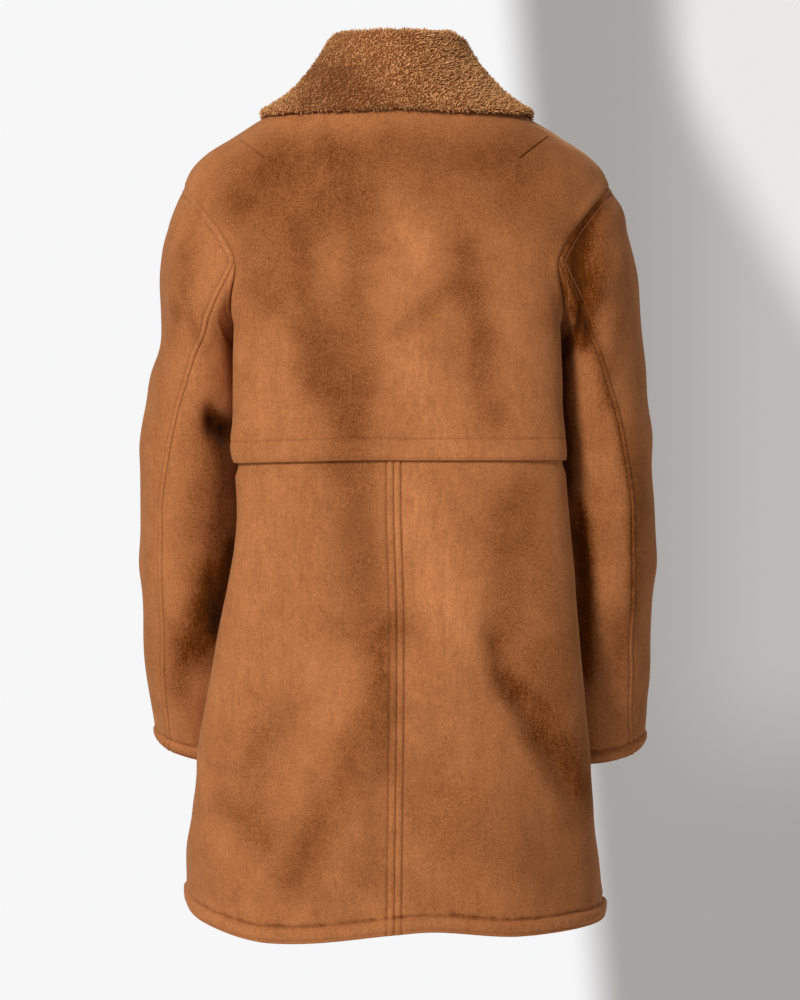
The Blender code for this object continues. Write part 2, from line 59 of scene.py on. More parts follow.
torsoForm = {
    "columns": "drop halfWidth back front squareness dent dentMiddle tiltBack tiltFront",
    "rows": [
        (0.013, 0.076, 0.068, 0.080, 2.00, 0.00, 0.000, 0.19, 0.60),
        (0.022, 0.095, 0.075, 0.088, 1.95, 0.00, 0.000, 0.17, 0.55),
        (0.034, 0.119, 0.083, 0.096, 1.90, 0.00, 0.000, 0.15, 0.48),
        (0.048, 0.145, 0.090, 0.103, 1.90, 0.00, 0.000, 0.12, 0.40),
        (0.063, 0.169, 0.096, 0.109, 1.90, 0.00, 0.000, 0.10, 0.32),
        (0.080, 0.196, 0.102, 0.114, 1.90, 0.00, 0.000, 0.08, 0.24),
        (0.096, 0.211, 0.108, 0.118, 1.95, 0.00, 0.000, 0.05, 0.15),
        (0.112, 0.2185, 0.113, 0.122, 2.00, 0.00, 0.000, 0.03, 0.08),
        (0.130, 0.2255, 0.118, 0.126, 2.05, 0.00, 0.000, 0.02, 0.04),
        (0.150, 0.229, 0.123, 0.130, 2.10, 0.00, 0.000, 0.01, 0.02),
        (0.170, 0.226, 0.127, 0.133, 2.20, 0.02, 0.000, 0.00, 0.00),
        (0.190, 0.217, 0.130, 0.136, 2.35, 0.07, 0.000, 0.00, 0.00),
        (0.210, 0.208, 0.132, 0.138, 2.60, 0.13, 0.000, 0.00, 0.00),
        (0.230, 0.202, 0.134, 0.140, 2.85, 0.20, 0.000, 0.00, 0.00),
        (0.250, 0.199, 0.135, 0.141, 3.05, 0.25, 0.000, 0.00, 0.00),
        (0.270, 0.200, 0.136, 0.142, 3.15, 0.280, 0.000, 0.00, 0.00),
        (0.330, 0.201, 0.137, 0.144, 3.20, 0.285, 0.000, 0.00, 0.00),
        (0.391, 0.201, 0.138, 0.146, 3.20, 0.287, 0.000, 0.00, 0.00),
        (0.450, 0.204, 0.140, 0.149, 3.20, 0.292, 0.002, 0.00, 0.00),
        (0.520, 0.210, 0.143, 0.152, 3.10, 0.300, 0.000, 0.00, 0.00),
        (0.580, 0.215, 0.146, 0.155, 3.00, 0.308, -0.010, 0.00, 0.00),
        (0.640, 0.219, 0.149, 0.157, 2.90, 0.310, -0.025, 0.00, 0.00),
        (0.700, 0.221, 0.152, 0.159, 2.80, 0.290, -0.040, 0.00, 0.00),
        (0.745, 0.221, 0.154, 0.161, 2.65, 0.160, -0.045, 0.00, 0.00),
        (0.800, 0.220, 0.157, 0.163, 2.50, 0.035, -0.045, 0.00, 0.00),
        (0.860, 0.216, 0.160, 0.166, 2.35, 0.000, -0.045, 0.00, 0.00),
    ],
    "dentSpan": 0.088,
    "shoulderBlend": 0.030,
    "levelDrop": 0.700,
    # how far the worn hem is above its own level, by degrees round the torso
    "hemAngles": (-180, -130, -90, -40, 0, 22, 48, 90, 102, 132, 180),
    "hemRises": (0.003, 0.000, -0.002, 0.001, 0.019, 0.006, -0.007, 0.004, 0.0065, 0.000, 0.003),
    # how far the yoke's edge hangs lower towards its left end, over which widths and drops
    "sag": 0.003,
    "sagWidth": 0.2,
    "sagDrops": 0.06,
    "sagDepth": 0.06,
    # how much further out one side stands: side, drop, over how much, how far
    "sideways": [
        (1, 0.372, 0.022, 0.0045),
        (1, 0.462, 0.062, -0.0065),
        (1, 0.670, 0.060, 0.0050),
        (-1, 0.490, 0.090, 0.0070),
        (-1, 0.780, 0.075, -0.0098),
    ],
    "sidewaysFrom": 0.10,
    "sidewaysOver": 0.06,
    # folds fade out over this depth towards the sides
    "foldFrom": 0.075,
    "foldOver": 0.04,
}

sleeveForm = {
    "columns": "along outX outDrop inX inDrop middle depth lean backSeam frontSeam",
    "rows": [
        (0.00, 0.2185, 0.112, 0.1460, 0.262, 0.000, 0.100, 0.00, 93, -120),
        (0.06, 0.2355, 0.148, 0.1595, 0.282, 0.002, 0.095, 0.00, 106, -120),
        (0.14, 0.2420, 0.192, 0.1580, 0.303, 0.002, 0.087, 0.00, 102, -120),
        (0.23, 0.2455, 0.248, 0.1555, 0.331, 0.003, 0.080, 0.00, 87, -120),
        (0.34, 0.2545, 0.318, 0.1535, 0.372, 0.004, 0.074, 0.00, 72, -121),
        (0.46, 0.2625, 0.390, 0.1535, 0.422, 0.005, 0.070, 0.00, 65, -123),
        (0.57, 0.2645, 0.455, 0.1540, 0.477, 0.004, 0.067, -0.02, 60, -125),
        (0.68, 0.2620, 0.520, 0.1550, 0.533, -0.002, 0.064, -0.06, 56, -126),
        (0.79, 0.2605, 0.585, 0.1570, 0.593, -0.014, 0.060, -0.12, 55.5, -127),
        (0.90, 0.2545, 0.638, 0.1620, 0.650, -0.031, 0.054, -0.17, 56, -127),
        (1.00, 0.2490, 0.674, 0.1680, 0.700, -0.047, 0.049, -0.20, 54, -127),
    ],
    "join": 0.12,
    "pinch": 0.14,
    "foldStart": 0.04,
    "foldEnd": 0.10,
}

collarForm = {
    "columns": "along baseAngle edgeAngle edgeDrop clear stand lean curve",
    "rows": [
        (0.00, 90, 90, 0.048, 0.0015, 0.037, 0.003, -0.002),
        (0.18, 58, 57, 0.050, 0.0015, 0.039, 0.006, -0.005),
        (0.36, 26, 27, 0.049, 0.0020, 0.044, 0.014, -0.012),
        (0.52, -4, 0, 0.042, 0.0020, 0.045, 0.017, -0.015),
        (0.70, -38, -27, 0.054, 0.0040, 0.042, 0.012, -0.011),
        (0.86, -66, -46, 0.086, 0.0060, 0.037, 0.005, -0.004),
        (1.00, -87, -58, 0.112, 0.0062, 0.030, 0.002, 0.000),
    ],
    "foldRadius": 0.0035,
    "under": 0.002,
    "standPile": 0.0020,
    "fallPile": 0.0038,
    "overhang": 0.0022,
    "steps": (9, 9, 34),
    "halfColumns": 86,
}

# Soft folds: side of the body, start and end as (left of the middle, above the neck), half
# the width, and the height, which is negative for a trough
torsoFolds = [
    ("back", (0.110, -0.700), (0.020, -0.520), 0.040, -0.0050),
    ("back", (0.060, -0.800), (0.004, -0.640), 0.034, 0.0040),
    ("back", (-0.100, -0.560), (-0.175, -0.800), 0.036, -0.0055),
    ("back", (-0.050, -0.620), (-0.120, -0.820), 0.040, 0.0040),
    ("back", (0.140, -0.480), (0.150, -0.660), 0.030, 0.0035),
    ("back", (0.060, -0.180), (0.050, -0.330), 0.036, -0.0030),
    ("back", (-0.075, -0.170), (-0.070, -0.350), 0.036, -0.0030),
    ("front", (0.130, -0.300), (0.070, -0.480), 0.036, -0.0045),
    ("front", (-0.135, -0.320), (-0.080, -0.520), 0.036, -0.0045),
    ("front", (0.110, -0.560), (0.140, -0.780), 0.040, 0.0045),
    ("front", (-0.100, -0.600), (-0.140, -0.800), 0.038, 0.0045),
    ("back", (0.022, -0.617), (0.061, -0.794), 0.022, 0.0045),
    ("back", (0.010, -0.660), (0.012, -0.820), 0.014, -0.0030),
    ("back", (0.155, -0.600), (0.160, -0.730), 0.012, 0.0020),
    ("back", (-0.099, -0.562), (-0.103, -0.588), (-0.114, -0.612), (-0.148, -0.664), (-0.182, -0.722),
     0.013, -0.0046),
    ("back", (-0.112, -0.570), (-0.134, -0.625), (-0.175, -0.690), 0.032, -0.0030),
    ("back", (-0.108, -0.645), (-0.135, -0.690), (-0.165, -0.745), 0.014, 0.0024),
    ("back", (-0.003, -0.262), (-0.062, -0.222), 0.008, -0.0018),
]

# The same on the sleeves, in degrees round the sleeve and shares of its length
sleeveFolds = [
    ("both", (60, 0.30), (20, 0.36), (26, 0.045), -0.0050),
    ("both", (110, 0.44), (60, 0.52), (24, 0.040), 0.0035),
    ("both", (-70, 0.50), (-20, 0.46), (26, 0.045), -0.0045),
    ("both", (-60, 0.60), (0, 0.64), (26, 0.040), 0.0035),
    ("both", (40, 0.74), (90, 0.80), (26, 0.045), -0.0035),
    ("left", (24, 0.215), (2, 0.270), (22, 0.030), -0.0045),
    ("left", (4, 0.350), (0, 0.430), (40, 0.050), 0.0045),
    ("right", (0, 0.180), (0, 0.400), (44, 0.060), 0.0050),
    ("left", (114, 0.335), (135, 0.345), (13, 0.034), -0.0120),
    ("right", (66, 0.025), (84, 0.050), (104, 0.085), (112, 0.120), (15, 0.026), -0.0050),
    ("right", (40, 0.020), (58, 0.040), (72, 0.062), (92, 0.100), (9, 0.020), 0.0030),
    ("right", (-14, 0.026), (6, 0.036), (40, 0.034), 0.0036),
    ("both", (0, 0.055), (10, 0.060), (40, 0.032), -0.0022),
    ("right", (0, 0.860), (0, 0.960), (60, 0.060), 0.0030),
]

# Height of the cloth beside a seam or an edge, by the distance from it
seamShapes = {
    "plain": [(0, 0), (0.0035, 0.0005), (0.010, 0)],
    "openSeam": [(0, 0), (0.0032, 0.0012), (0.0060, 0.0007), (0.0071, -0.0008), (0.0077, -0.0008),
                 (0.0087, 0.0002), (0.0130, 0.0003), (0.020, 0)],
    "armholeBody": [(0, 0), (0.0050, 0.0012), (0.014, 0)],
    "armholeSleeve": [(0, -0.0003), (0.0030, 0.0004), (0.0052, 0.0003), (0.0062, -0.0002), (0.0070, -0.0002),
                      (0.0090, 0.0001), (0.018, 0)],
    "sleeveWelt": [(0, 0), (0.0024, 0.0009), (0.0042, 0.0006), (0.0053, -0.0004), (0.0060, -0.0004),
                   (0.0075, 0.0001), (0.013, 0)],
    "yokeEdge": [(0, -0.0006), (0.0015, 0.0002), (0.0025, -0.0003), (0.0036, 0.0003), (0.0110, 0.0005),
                 (0.0203, 0.0002), (0.0214, -0.0004), (0.0222, -0.0004), (0.0236, 0), (0.030, 0)],
    "turnedHem": [(0, 0.0006), (0.0012, 0.0020), (0.0023, 0.0021), (0.0031, 0.0017), (0.0043, 0.0030),
                  (0.0085, 0.0037), (0.0120, 0.0034), (0.0145, 0.0016), (0.0161, -0.0010),
                  (0.0171, -0.0010), (0.0200, 0.0004), (0.0270, 0.0002), (0.036, 0)],
    "frontEdge": [(0, 0), (0.0030, 0.0010), (0.0056, 0.0007), (0.0068, -0.0006), (0.0076, -0.0006),
                  (0.0092, 0.0001), (0.0125, 0)],
}

fineSteps = {
    "seam": [0, 0.0005, 0.0012, 0.0022, 0.0036, 0.0055, 0.0080, 0.0112, 0.0150, 0.0190],
    "stitched": [0, 0.0004, 0.0009, 0.0015, 0.0023, 0.0032, 0.0041, 0.0050, 0.0058, 0.0065, 0.0071,
                 0.0077, 0.0084, 0.0093, 0.0108, 0.0130, 0.0160, 0.0195],
    "hem": [0, 0.0004, 0.0010, 0.0017, 0.0024, 0.0031, 0.0039, 0.0050, 0.0070, 0.0095, 0.0118, 0.0135,
            0.0148, 0.0157, 0.0166, 0.0175, 0.0187, 0.0205, 0.0235, 0.0272, 0.0312],
    "yoke": [0, 0.0004, 0.0009, 0.0015, 0.0021, 0.0027, 0.0034, 0.0044, 0.0064, 0.0095, 0.0130, 0.0165,
             0.0190, 0.0205, 0.0213, 0.0219, 0.0225, 0.0233, 0.0247, 0.0270, 0.0305],
}


def smoothCurve(at, places, values):
    # through the values without overshooting them
    at = np.clip(np.asarray(at, float), places[0], places[-1])
    step = np.diff(places)
    slope = np.diff(values) / step
    sameWay = slope[:-1] * slope[1:] > 0
    pairSum = np.where(sameWay, slope[:-1] + slope[1:], 1.0)
    middle = np.where(sameWay, 2 * slope[:-1] * slope[1:] / pairSum, 0.0)
    tangent = np.concatenate([slope[:1], middle, slope[-1:]])
    i = np.clip(np.searchsorted(places, at, side="right") - 1, 0, len(step) - 1)
    t = (at - places[i]) / step[i]
    start = values[i] * (1 + 2 * t) * (1 - t) ** 2 + tangent[i] * step[i] * t * (1 - t) ** 2
    end = values[i + 1] * t**2 * (3 - 2 * t) + tangent[i + 1] * step[i] * t**2 * (t - 1)
    return start + end


def reader(form):
    # form at a place: read one named column anywhere between the rows
    names, values = form["columns"].split(), np.array(form["rows"], float)
    return lambda place, column: smoothCurve(place, values[:, 0], values[:, names.index(column)])


torsoAt, sleeveAt, collarAt = reader(torsoForm), reader(sleeveForm), reader(collarForm)


def unit(vectors):
    return vectors / np.maximum(np.linalg.norm(vectors, axis=-1, keepdims=True), 1e-12)


def stepUp(share):
    share = np.clip(share, 0, 1)
    return share**2 * (3 - 2 * share)


def softLine(across, down, start, end, width):
    # 1 on the line, fading over width to its sides and past its ends
    way = np.subtract(end, start)
    held = np.clip(((across - start[0]) * way[0] + (down - start[1]) * way[1]) / (way @ way), 0, 1)
    away = np.hypot(across - start[0] - held * way[0], down - start[1] - held * way[1])
    return np.exp(-((away / width) ** 2))


def softPath(across, down, points, width):
    # the same for a line through several points
    return np.max([softLine(across, down, a, b, width) for a, b in zip(points, points[1:])], axis=0)


def latticeNoise(points, size, seed):
    # smooth noise from -1 to 1, with lumps of about that size
    cell = np.asarray(points) / size
    low = np.floor(cell).astype(np.int64)
    part = stepUp(cell - low)
    total = np.zeros(cell.shape[:-1])
    for corner in np.ndindex(2, 2, 2):
        spot = low + np.array(corner)
        mixed = (spot[..., 0] * 73856093) ^ (spot[..., 1] * 19349663) ^ (spot[..., 2] * 83492791)
        mixed = ((mixed ^ (seed * 7919)) * 1274126177) & 0x7FFFFFFF
        mixed = ((mixed ^ (mixed >> 13)) * 1911520717) & 0x7FFFFFFF
        value = ((mixed >> 8) & 0xFFFF) / 32767.5 - 1
        weight = np.prod(np.where(np.array(corner) == 1, part, 1 - part), axis=-1)
        total = total + value * weight
    return total


def lineDistance(points, line):
    # least distance from each point to a line of straight pieces
    flat = np.asarray(points).reshape(-1, 3)
    start, way = line[:-1], np.diff(line, axis=0)
    square = np.maximum((way**2).sum(axis=1), 1e-18)
    least = np.empty(len(flat))
    for first in range(0, len(flat), 4000):
        some = flat[first:first + 4000, None, :] - start[None]
        held = np.clip((some * way).sum(axis=2) / square, 0, 1)
        some -= held[..., None] * way
        least[first:first + 4000] = np.sqrt((some**2).sum(axis=2).min(axis=1))
    return least.reshape(np.shape(points)[:-1])


def thinned(line, spacing=0.004):
    # the same line with points about that far apart
    step = np.linalg.norm(np.diff(line, axis=0), axis=1)
    far = np.concatenate([[0], np.cumsum(step)])
    places = np.linspace(0, far[-1], max(3, int(far[-1] / spacing) + 1))
    return np.stack([np.interp(places, far, line[:, k]) for k in range(3)], axis=1)


# Torso

def torsoPoint(angle, drop):
    # the angle runs from the wearer's left towards the back
    angle, drop = np.broadcast_arrays(np.radians(angle), np.asarray(drop, float))
    across, along = np.cos(angle), np.sin(angle)
    depth = np.where(along >= 0, torsoAt(drop, "back"), torsoAt(drop, "front"))
    power = torsoAt(drop, "squareness")
    size = np.abs(across / torsoAt(drop, "halfWidth")) ** power + np.abs(along / depth) ** power
    x, y = across * size ** (-1 / power), along * size ** (-1 / power)
    backShare = stepUp(y / torsoForm["shoulderBlend"] / 2 + 0.5)
    tiltBack, tiltFront = torsoAt(drop, "tiltBack"), torsoAt(drop, "tiltFront")
    pressed = np.exp(-(((y - torsoAt(drop, "dentMiddle")) / torsoForm["dentSpan"]) ** 2))
    x = x * (1 - torsoAt(drop, "dent") * pressed)
    for side, middle, span, out in torsoForm["sideways"]:
        atSide = stepUp((x * side - torsoForm["sidewaysFrom"]) / torsoForm["sidewaysOver"])
        x = x + out * side * atSide * np.exp(-(((drop - middle) / span) ** 2))
    turn = (np.degrees(angle) + 180) % 360 - 180
    hang = stepUp((drop - torsoForm["levelDrop"]) / (coat["hemDrop"] - torsoForm["levelDrop"]))
    rise = smoothCurve(turn, np.array(torsoForm["hemAngles"], float), np.array(torsoForm["hemRises"])) * hang
    besideEdge = np.exp(-(((drop - coat["yokeDrop"]) / torsoForm["sagDrops"]) ** 2))
    onLeft, onBack = stepUp(x / torsoForm["sagWidth"]), stepUp(y / torsoForm["sagDepth"])
    rise = rise - torsoForm["sag"] * onLeft * onBack * besideEdge
    return np.stack([x, y, (tiltFront + (tiltBack - tiltFront) * backShare) * y + rise - drop], axis=-1)


def torsoNormal(angle, drop):
    turning = torsoPoint(angle + 0.5, drop) - torsoPoint(angle - 0.5, drop)
    falling = torsoPoint(angle, drop + 0.001) - torsoPoint(angle, drop - 0.001)
    return unit(np.cross(falling, turning))


def torsoFoldHeight(point):
    height = np.zeros(point.shape[:-1])
    for side, *points, width, rise in torsoFolds:
        outward = point[..., 1] if side == "back" else -point[..., 1]
        line = softPath(point[..., 0], point[..., 2], points, width)
        height += rise * line * stepUp((outward - torsoForm["foldFrom"]) / torsoForm["foldOver"])
    return height


armholeMiddle = (armhole["top"] + armhole["bottom"]) / 2
armholeHalf = (armhole["bottom"] - armhole["top"]) / 2


def armholeDrop(turn):
    return armholeMiddle - armholeHalf * np.cos(np.radians(turn))


def armholeTurn(drop):
    return np.degrees(np.arccos(np.clip((armholeMiddle - drop) / armholeHalf, -1, 1)))


def armholeAngle(turn):
    # angle on the torso form, for points round the left armhole
    sine, cosine = np.sin(np.radians(turn)), np.cos(np.radians(turn))
    depth = np.where(sine >= 0, armhole["back"], armhole["front"]) * sine
    depth = depth * (1 - armhole["narrowing"] * (1 + cosine) / 2)
    trial = np.linspace(-90, 90, 721)
    places = zip(depth, armholeDrop(turn))
    return np.array([np.interp(y, torsoPoint(trial, drop)[:, 1], trial) for y, drop in places])


armholeTurns = np.arange(-180, 181, 1.0)
armholeAngles = armholeAngle(armholeTurns)
armholeRing = torsoPoint(armholeAngles, armholeDrop(armholeTurns))


# Sleeve

def sleeveRing(turn, along):
    outX, outDrop, inX, inDrop = (sleeveAt(along, name) for name in ("outX", "outDrop", "inX", "inDrop"))
    cosine, sine = np.cos(np.radians(turn)), np.sin(np.radians(turn))
    depth = sleeveAt(along, "depth") * sine * (1 - sleeveForm["pinch"] * (1 - cosine) / 2)
    x = (outX + inX) / 2 + (outX - inX) / 2 * cosine
    drop = (outDrop + inDrop) / 2 + (outDrop - inDrop) / 2 * cosine
    return np.stack([x, sleeveAt(along, "middle") + depth, sleeveAt(along, "lean") * depth - drop], axis=-1)


def sleevePoint(turn, along):
    turn, along = np.broadcast_arrays(np.asarray(turn, float), np.asarray(along, float))
    wrapped = (turn + 180) % 360 - 180
    root = np.stack([np.interp(wrapped, armholeTurns, armholeRing[:, k]) for k in range(3)], axis=-1)
    joined = 1 - stepUp(along / sleeveForm["join"])
    return sleeveRing(turn, along) + (root - sleeveRing(turn, 0 * along)) * joined[..., None]


def sleeveNormal(turn, along):
    after, before = np.minimum(along + 0.004, 1.0), np.maximum(along - 0.004, 0.0)
    turning = sleevePoint(turn + 1, along) - sleevePoint(turn - 1, along)
    return unit(np.cross(sleevePoint(turn, after) - sleevePoint(turn, before), turning))


def sleeveLines(lines, side, turn, along):
    # the sum of soft lines on one sleeve
    total = np.zeros(np.shape(turn))
    for which, *points, (wide, long), amount in lines:
        if which in ("both", side):
            points = [(across / wide, down / long) for across, down in points]
            total += amount * softPath(turn / wide, along / long, points, 1.0)
    return total


def sleeveFoldHeight(side, turn, along):
    started = stepUp(along / sleeveForm["foldStart"])
    return sleeveLines(sleeveFolds, side, turn, along) * started * stepUp((1 - along) / sleeveForm["foldEnd"])


# Walls

def edgePlaces(length, startSteps, endSteps, step):
    # places along a row: fine at both ends and even between; the count depends on step alone
    first, last = fineSteps[startSteps], fineSteps[endSteps]
    between = max(2, int(round((np.max(length) - first[-1] - last[-1]) / step)))
    rows = []
    for whole in np.atleast_1d(length):
        shrink = min(1.0, 0.9 * whole / (first[-1] + last[-1] + 1e-9))
        a, b = np.array(first) * shrink, whole - np.array(last)[::-1] * shrink
        rows.append(np.concatenate([a, np.linspace(a[-1], b[0], between + 1)[1:-1], b]))
    return np.array(rows)


def spreadAngles(pointAt, start, end, startSteps, endSteps, step):
    # columns' angles in each row, so that the columns are fine along both seams
    trials, lengths = [], []
    for row, (a, b) in enumerate(zip(start, end)):
        trial = np.linspace(a, b, 500)
        far = np.linalg.norm(np.diff(pointAt(trial, row), axis=0), axis=1)
        trials.append(trial)
        lengths.append(np.concatenate([[0], np.cumsum(far)]))
    half = coat["seamGap"]
    places = edgePlaces([far[-1] - 2 * half for far in lengths], startSteps, endSteps, step) + half
    return np.array([np.interp(place, far, trial) for place, far, trial in zip(places, lengths, trials)])


def panelShape(base, seams, rounding, pucker=()):
    # heights of the outer face from the seams round a panel, how much its edges are rounded
    # away, and how far in each point is
    outline = {"top": base[0], "bottom": base[-1], "start": base[:, 0], "end": base[:, -1]}
    away = {side: lineDistance(base, thinned(line)) for side, line in outline.items()}
    height = np.zeros(base.shape[:2])
    for side, shape in seams.items():
        if shape:
            places, values = np.array(seamShapes[shape], float).T
            height += np.where(away[side] < places[-1], smoothCurve(away[side], places, values), 0.0)
    for side, place, width, depth, size, seed in pucker:
        near = np.exp(-(((away[side] - place) / width) ** 2))
        height += near * depth * latticeNoise(base, size, seed)
    rounded = np.zeros(base.shape[:2])
    for side, radius in rounding.items():
        inside = np.clip(radius - away[side], 0, radius)
        rounded = np.maximum(rounded, radius - np.sqrt(radius**2 - inside**2))
    return height, rounded, away


def wallFaces(rows, columns):
    index = np.arange(rows * columns).reshape(rows, columns)
    a, b, c, d = index[:-1, :-1], index[:-1, 1:], index[1:, 1:], index[1:, :-1]
    outer = np.stack([a, d, c, b], axis=-1).reshape(-1, 4)
    inner = np.stack([a, b, c, d], axis=-1).reshape(-1, 4) + rows * columns
    rim = np.concatenate([index[0, :-1], index[:-1, -1], index[-1, :0:-1], index[:0:-1, 0]])
    after = np.roll(rim, -1)
    edge = np.stack([rim, after, after + rows * columns, rim + rows * columns], axis=-1)
    return outer, inner, edge


def addObject(name, data):
    made = bpy.data.objects.new(name, data)
    bpy.context.scene.collection.objects.link(made)
    return made


def addMesh(name, points, faces, materials, slots=None):
    mesh = bpy.data.meshes.new(name)
    mesh.from_pydata(np.asarray(points, float).tolist(), [], np.asarray(faces).tolist())
    for each in materials:
        mesh.materials.append(each)
    if slots is not None:
        mesh.polygons.foreach_set("material_index", np.asarray(slots, np.int32))
    mesh.shade_smooth()
    mesh.update()
    return addObject(name, mesh)


def signedVolume(points, faces):
    tri = np.concatenate([faces[:, :3], faces[:, [0, 2, 3]]])
    crossed = np.cross(points[tri[:, 1]], points[tri[:, 2]])
    return np.einsum("ij,ij->i", points[tri[:, 0]], crossed).sum() / 6


def setTone(made, name, values):
    layer = made.data.attributes.new(name, "FLOAT", "POINT")
    layer.data.foreach_set("value", np.asarray(values, np.float32).ravel())


def addWall(name, outer, inner, materials, facing, tones):
    # facing is true where the inner face is turned suede and not pile
    rows, columns = outer.shape[:2]
    faceOut, faceIn, edge = wallFaces(rows, columns)
    faces = np.concatenate([faceOut, faceIn, edge])
    points = np.concatenate([outer.reshape(-1, 3), inner.reshape(-1, 3)])
    turned = facing[:-1, :-1].ravel()
    slots = np.concatenate([np.zeros(len(faceOut)), np.where(turned, 0, 1), np.zeros(len(edge))])
    if signedVolume(points, faces) < 0:
        faces = faces[:, ::-1]
    made = addMesh(name, points, faces, materials, slots)
    for tone, values in tones.items():
        setTone(made, tone, np.concatenate([values.ravel(), values.ravel()]))
    return made


# Finishes

def shade(red, green, blue):
    # a colour as a screen shows it, 0 to 255, made linear
    return tuple((c / 255) ** 2.2 for c in (red, green, blue)) + (1.0,)


def addNode(tree, kind, inputs=None, **settings):
    node = tree.nodes.new(kind)
    for name, value in settings.items():
        setattr(node, name, value)
    for key, source in (inputs or {}).items():
        if isinstance(source, bpy.types.NodeSocket):
            tree.links.new(source, node.inputs[key])
        else:
            node.inputs[key].default_value = source
    return node


def newGroup(name, kind, inputs, outputs):
    tree = bpy.data.node_groups.new(name, kind)
    for title, socket, value in inputs:
        made = tree.interface.new_socket(title, in_out="INPUT", socket_type=socket)
        if value is not None:
            made.default_value = value
    for title, socket in outputs:
        tree.interface.new_socket(title, in_out="OUTPUT", socket_type=socket)
    return tree, tree.nodes.new("NodeGroupInput").outputs, tree.nodes.new("NodeGroupOutput").inputs


def mathNode(tree, operation, a, b=0.0, c=0.0, clamp=False):
    node = tree.nodes.new("ShaderNodeMath")
    node.operation, node.use_clamp = operation, clamp
    for slot, value in zip(node.inputs, (a, b, c)):
        if isinstance(value, bpy.types.NodeSocket):
            tree.links.new(value, slot)
        else:
            slot.default_value = value
    return node.outputs[0]


def vectorNode(tree, operation, inputs):
    made = addNode(tree, "ShaderNodeVectorMath", inputs, operation=operation)
    return made.outputs["Value" if operation in ("DOT_PRODUCT", "DISTANCE") else "Vector"]


def softStep(tree, value, start, end):
    # 0 at start, 1 at end
    made = addNode(tree, "ShaderNodeMapRange", {"Value": value, "From Min": start, "From Max": end},
                   interpolation_type="SMOOTHSTEP")
    return made.outputs[0]


def noiseNode(tree, vector, scale, detail, roughness, stretch=None, distortion=0.0):
    if stretch:
        vector = addNode(tree, "ShaderNodeMapping", {"Vector": vector, "Scale": stretch}).outputs[0]
    made = addNode(tree, "ShaderNodeTexNoise", {"Vector": vector, "Scale": scale, "Detail": detail,
                                                "Roughness": roughness, "Distortion": distortion})
    return made.outputs["Fac"]


patchLook = {
    "middleSize": 3.6,  # how much finer than the wide patches
    "middleShare": 0.75,
    "longStretch": (95, 95, 16),
    "shortStretch": (270, 270, 75),
    "shortShare": 0.6,
    "fleckScale": 620.0,
}


def makePatches():
    # large soft patches, streaks that run down and a fine fleck, as brushed pile shows them
    tree, given, out = newGroup("pilePatches", "ShaderNodeTree", [
        ("Vector", "NodeSocketVector", None), ("Patch Size", "NodeSocketFloat", 8.0),
        ("Patches", "NodeSocketFloat", 1.0), ("Streaks", "NodeSocketFloat", 0.5),
        ("Fleck", "NodeSocketFloat", 0.5)], [("Mask", "NodeSocketFloat"), ("Streak", "NodeSocketFloat")])
    wide = noiseNode(tree, given["Vector"], given["Patch Size"], detail=3.0, roughness=0.55, distortion=0.5)
    middleSize = mathNode(tree, "MULTIPLY", given["Patch Size"], patchLook["middleSize"])
    middle = noiseNode(tree, given["Vector"], middleSize, detail=5.0, roughness=0.66, distortion=0.3)
    longStreak = noiseNode(tree, given["Vector"], 1.0, 4.0, 0.6, patchLook["longStretch"])
    shortStreak = noiseNode(tree, given["Vector"], 1.0, 3.0, 0.65, patchLook["shortStretch"])
    apart = mathNode(tree, "SUBTRACT", shortStreak, longStreak)
    streak = mathNode(tree, "MULTIPLY_ADD", apart, patchLook["shortShare"], longStreak)
    fleck = noiseNode(tree, given["Vector"], patchLook["fleckScale"], detail=3.0, roughness=0.75)
    total = mathNode(tree, "MULTIPLY_ADD", mathNode(tree, "SUBTRACT", wide, 0.5), given["Patches"], 0.5)
    middleAmount = mathNode(tree, "MULTIPLY", given["Patches"], patchLook["middleShare"])
    for part, amount in ((middle, middleAmount),
                         (streak, given["Streaks"]), (fleck, given["Fleck"])):
        total = mathNode(tree, "MULTIPLY_ADD", mathNode(tree, "SUBTRACT", part, 0.5), amount, total)
    tree.links.new(total, out["Mask"])
    tree.links.new(streak, out["Streak"])
    return tree


def makeLineMark():
    # 1 on a straight line across the cloth, seen along the depth, on the back only
    tree, given, out = newGroup("lineMark", "ShaderNodeTree", [
        ("Vector", "NodeSocketVector", None), ("Start", "NodeSocketVector", None),
        ("Way", "NodeSocketVector", None), ("Width", "NodeSocketFloat", 0.001)],
        [("Mask", "NodeSocketFloat")])
    flat = vectorNode(tree, "MULTIPLY", {0: given["Vector"], 1: (1, 0, 1)})
    fromStart = vectorNode(tree, "SUBTRACT", {0: flat, 1: given["Start"]})
    along = vectorNode(tree, "DOT_PRODUCT", {0: fromStart, 1: given["Way"]})
    square = vectorNode(tree, "DOT_PRODUCT", {0: given["Way"], 1: given["Way"]})
    held = mathNode(tree, "DIVIDE", along, square, clamp=True)
    reached = vectorNode(tree, "SCALE", {0: given["Way"], "Scale": held})
    near = softStep(tree, vectorNode(tree, "DISTANCE", {0: fromStart, 1: reached}), given["Width"], 0.0)
    depth = addNode(tree, "ShaderNodeSeparateXYZ", {0: given["Vector"]}).outputs["Y"]
    onBack = mathNode(tree, "GREATER_THAN", depth, 0.0)
    tree.links.new(mathNode(tree, "MULTIPLY", near, onBack), out["Mask"])
    return tree


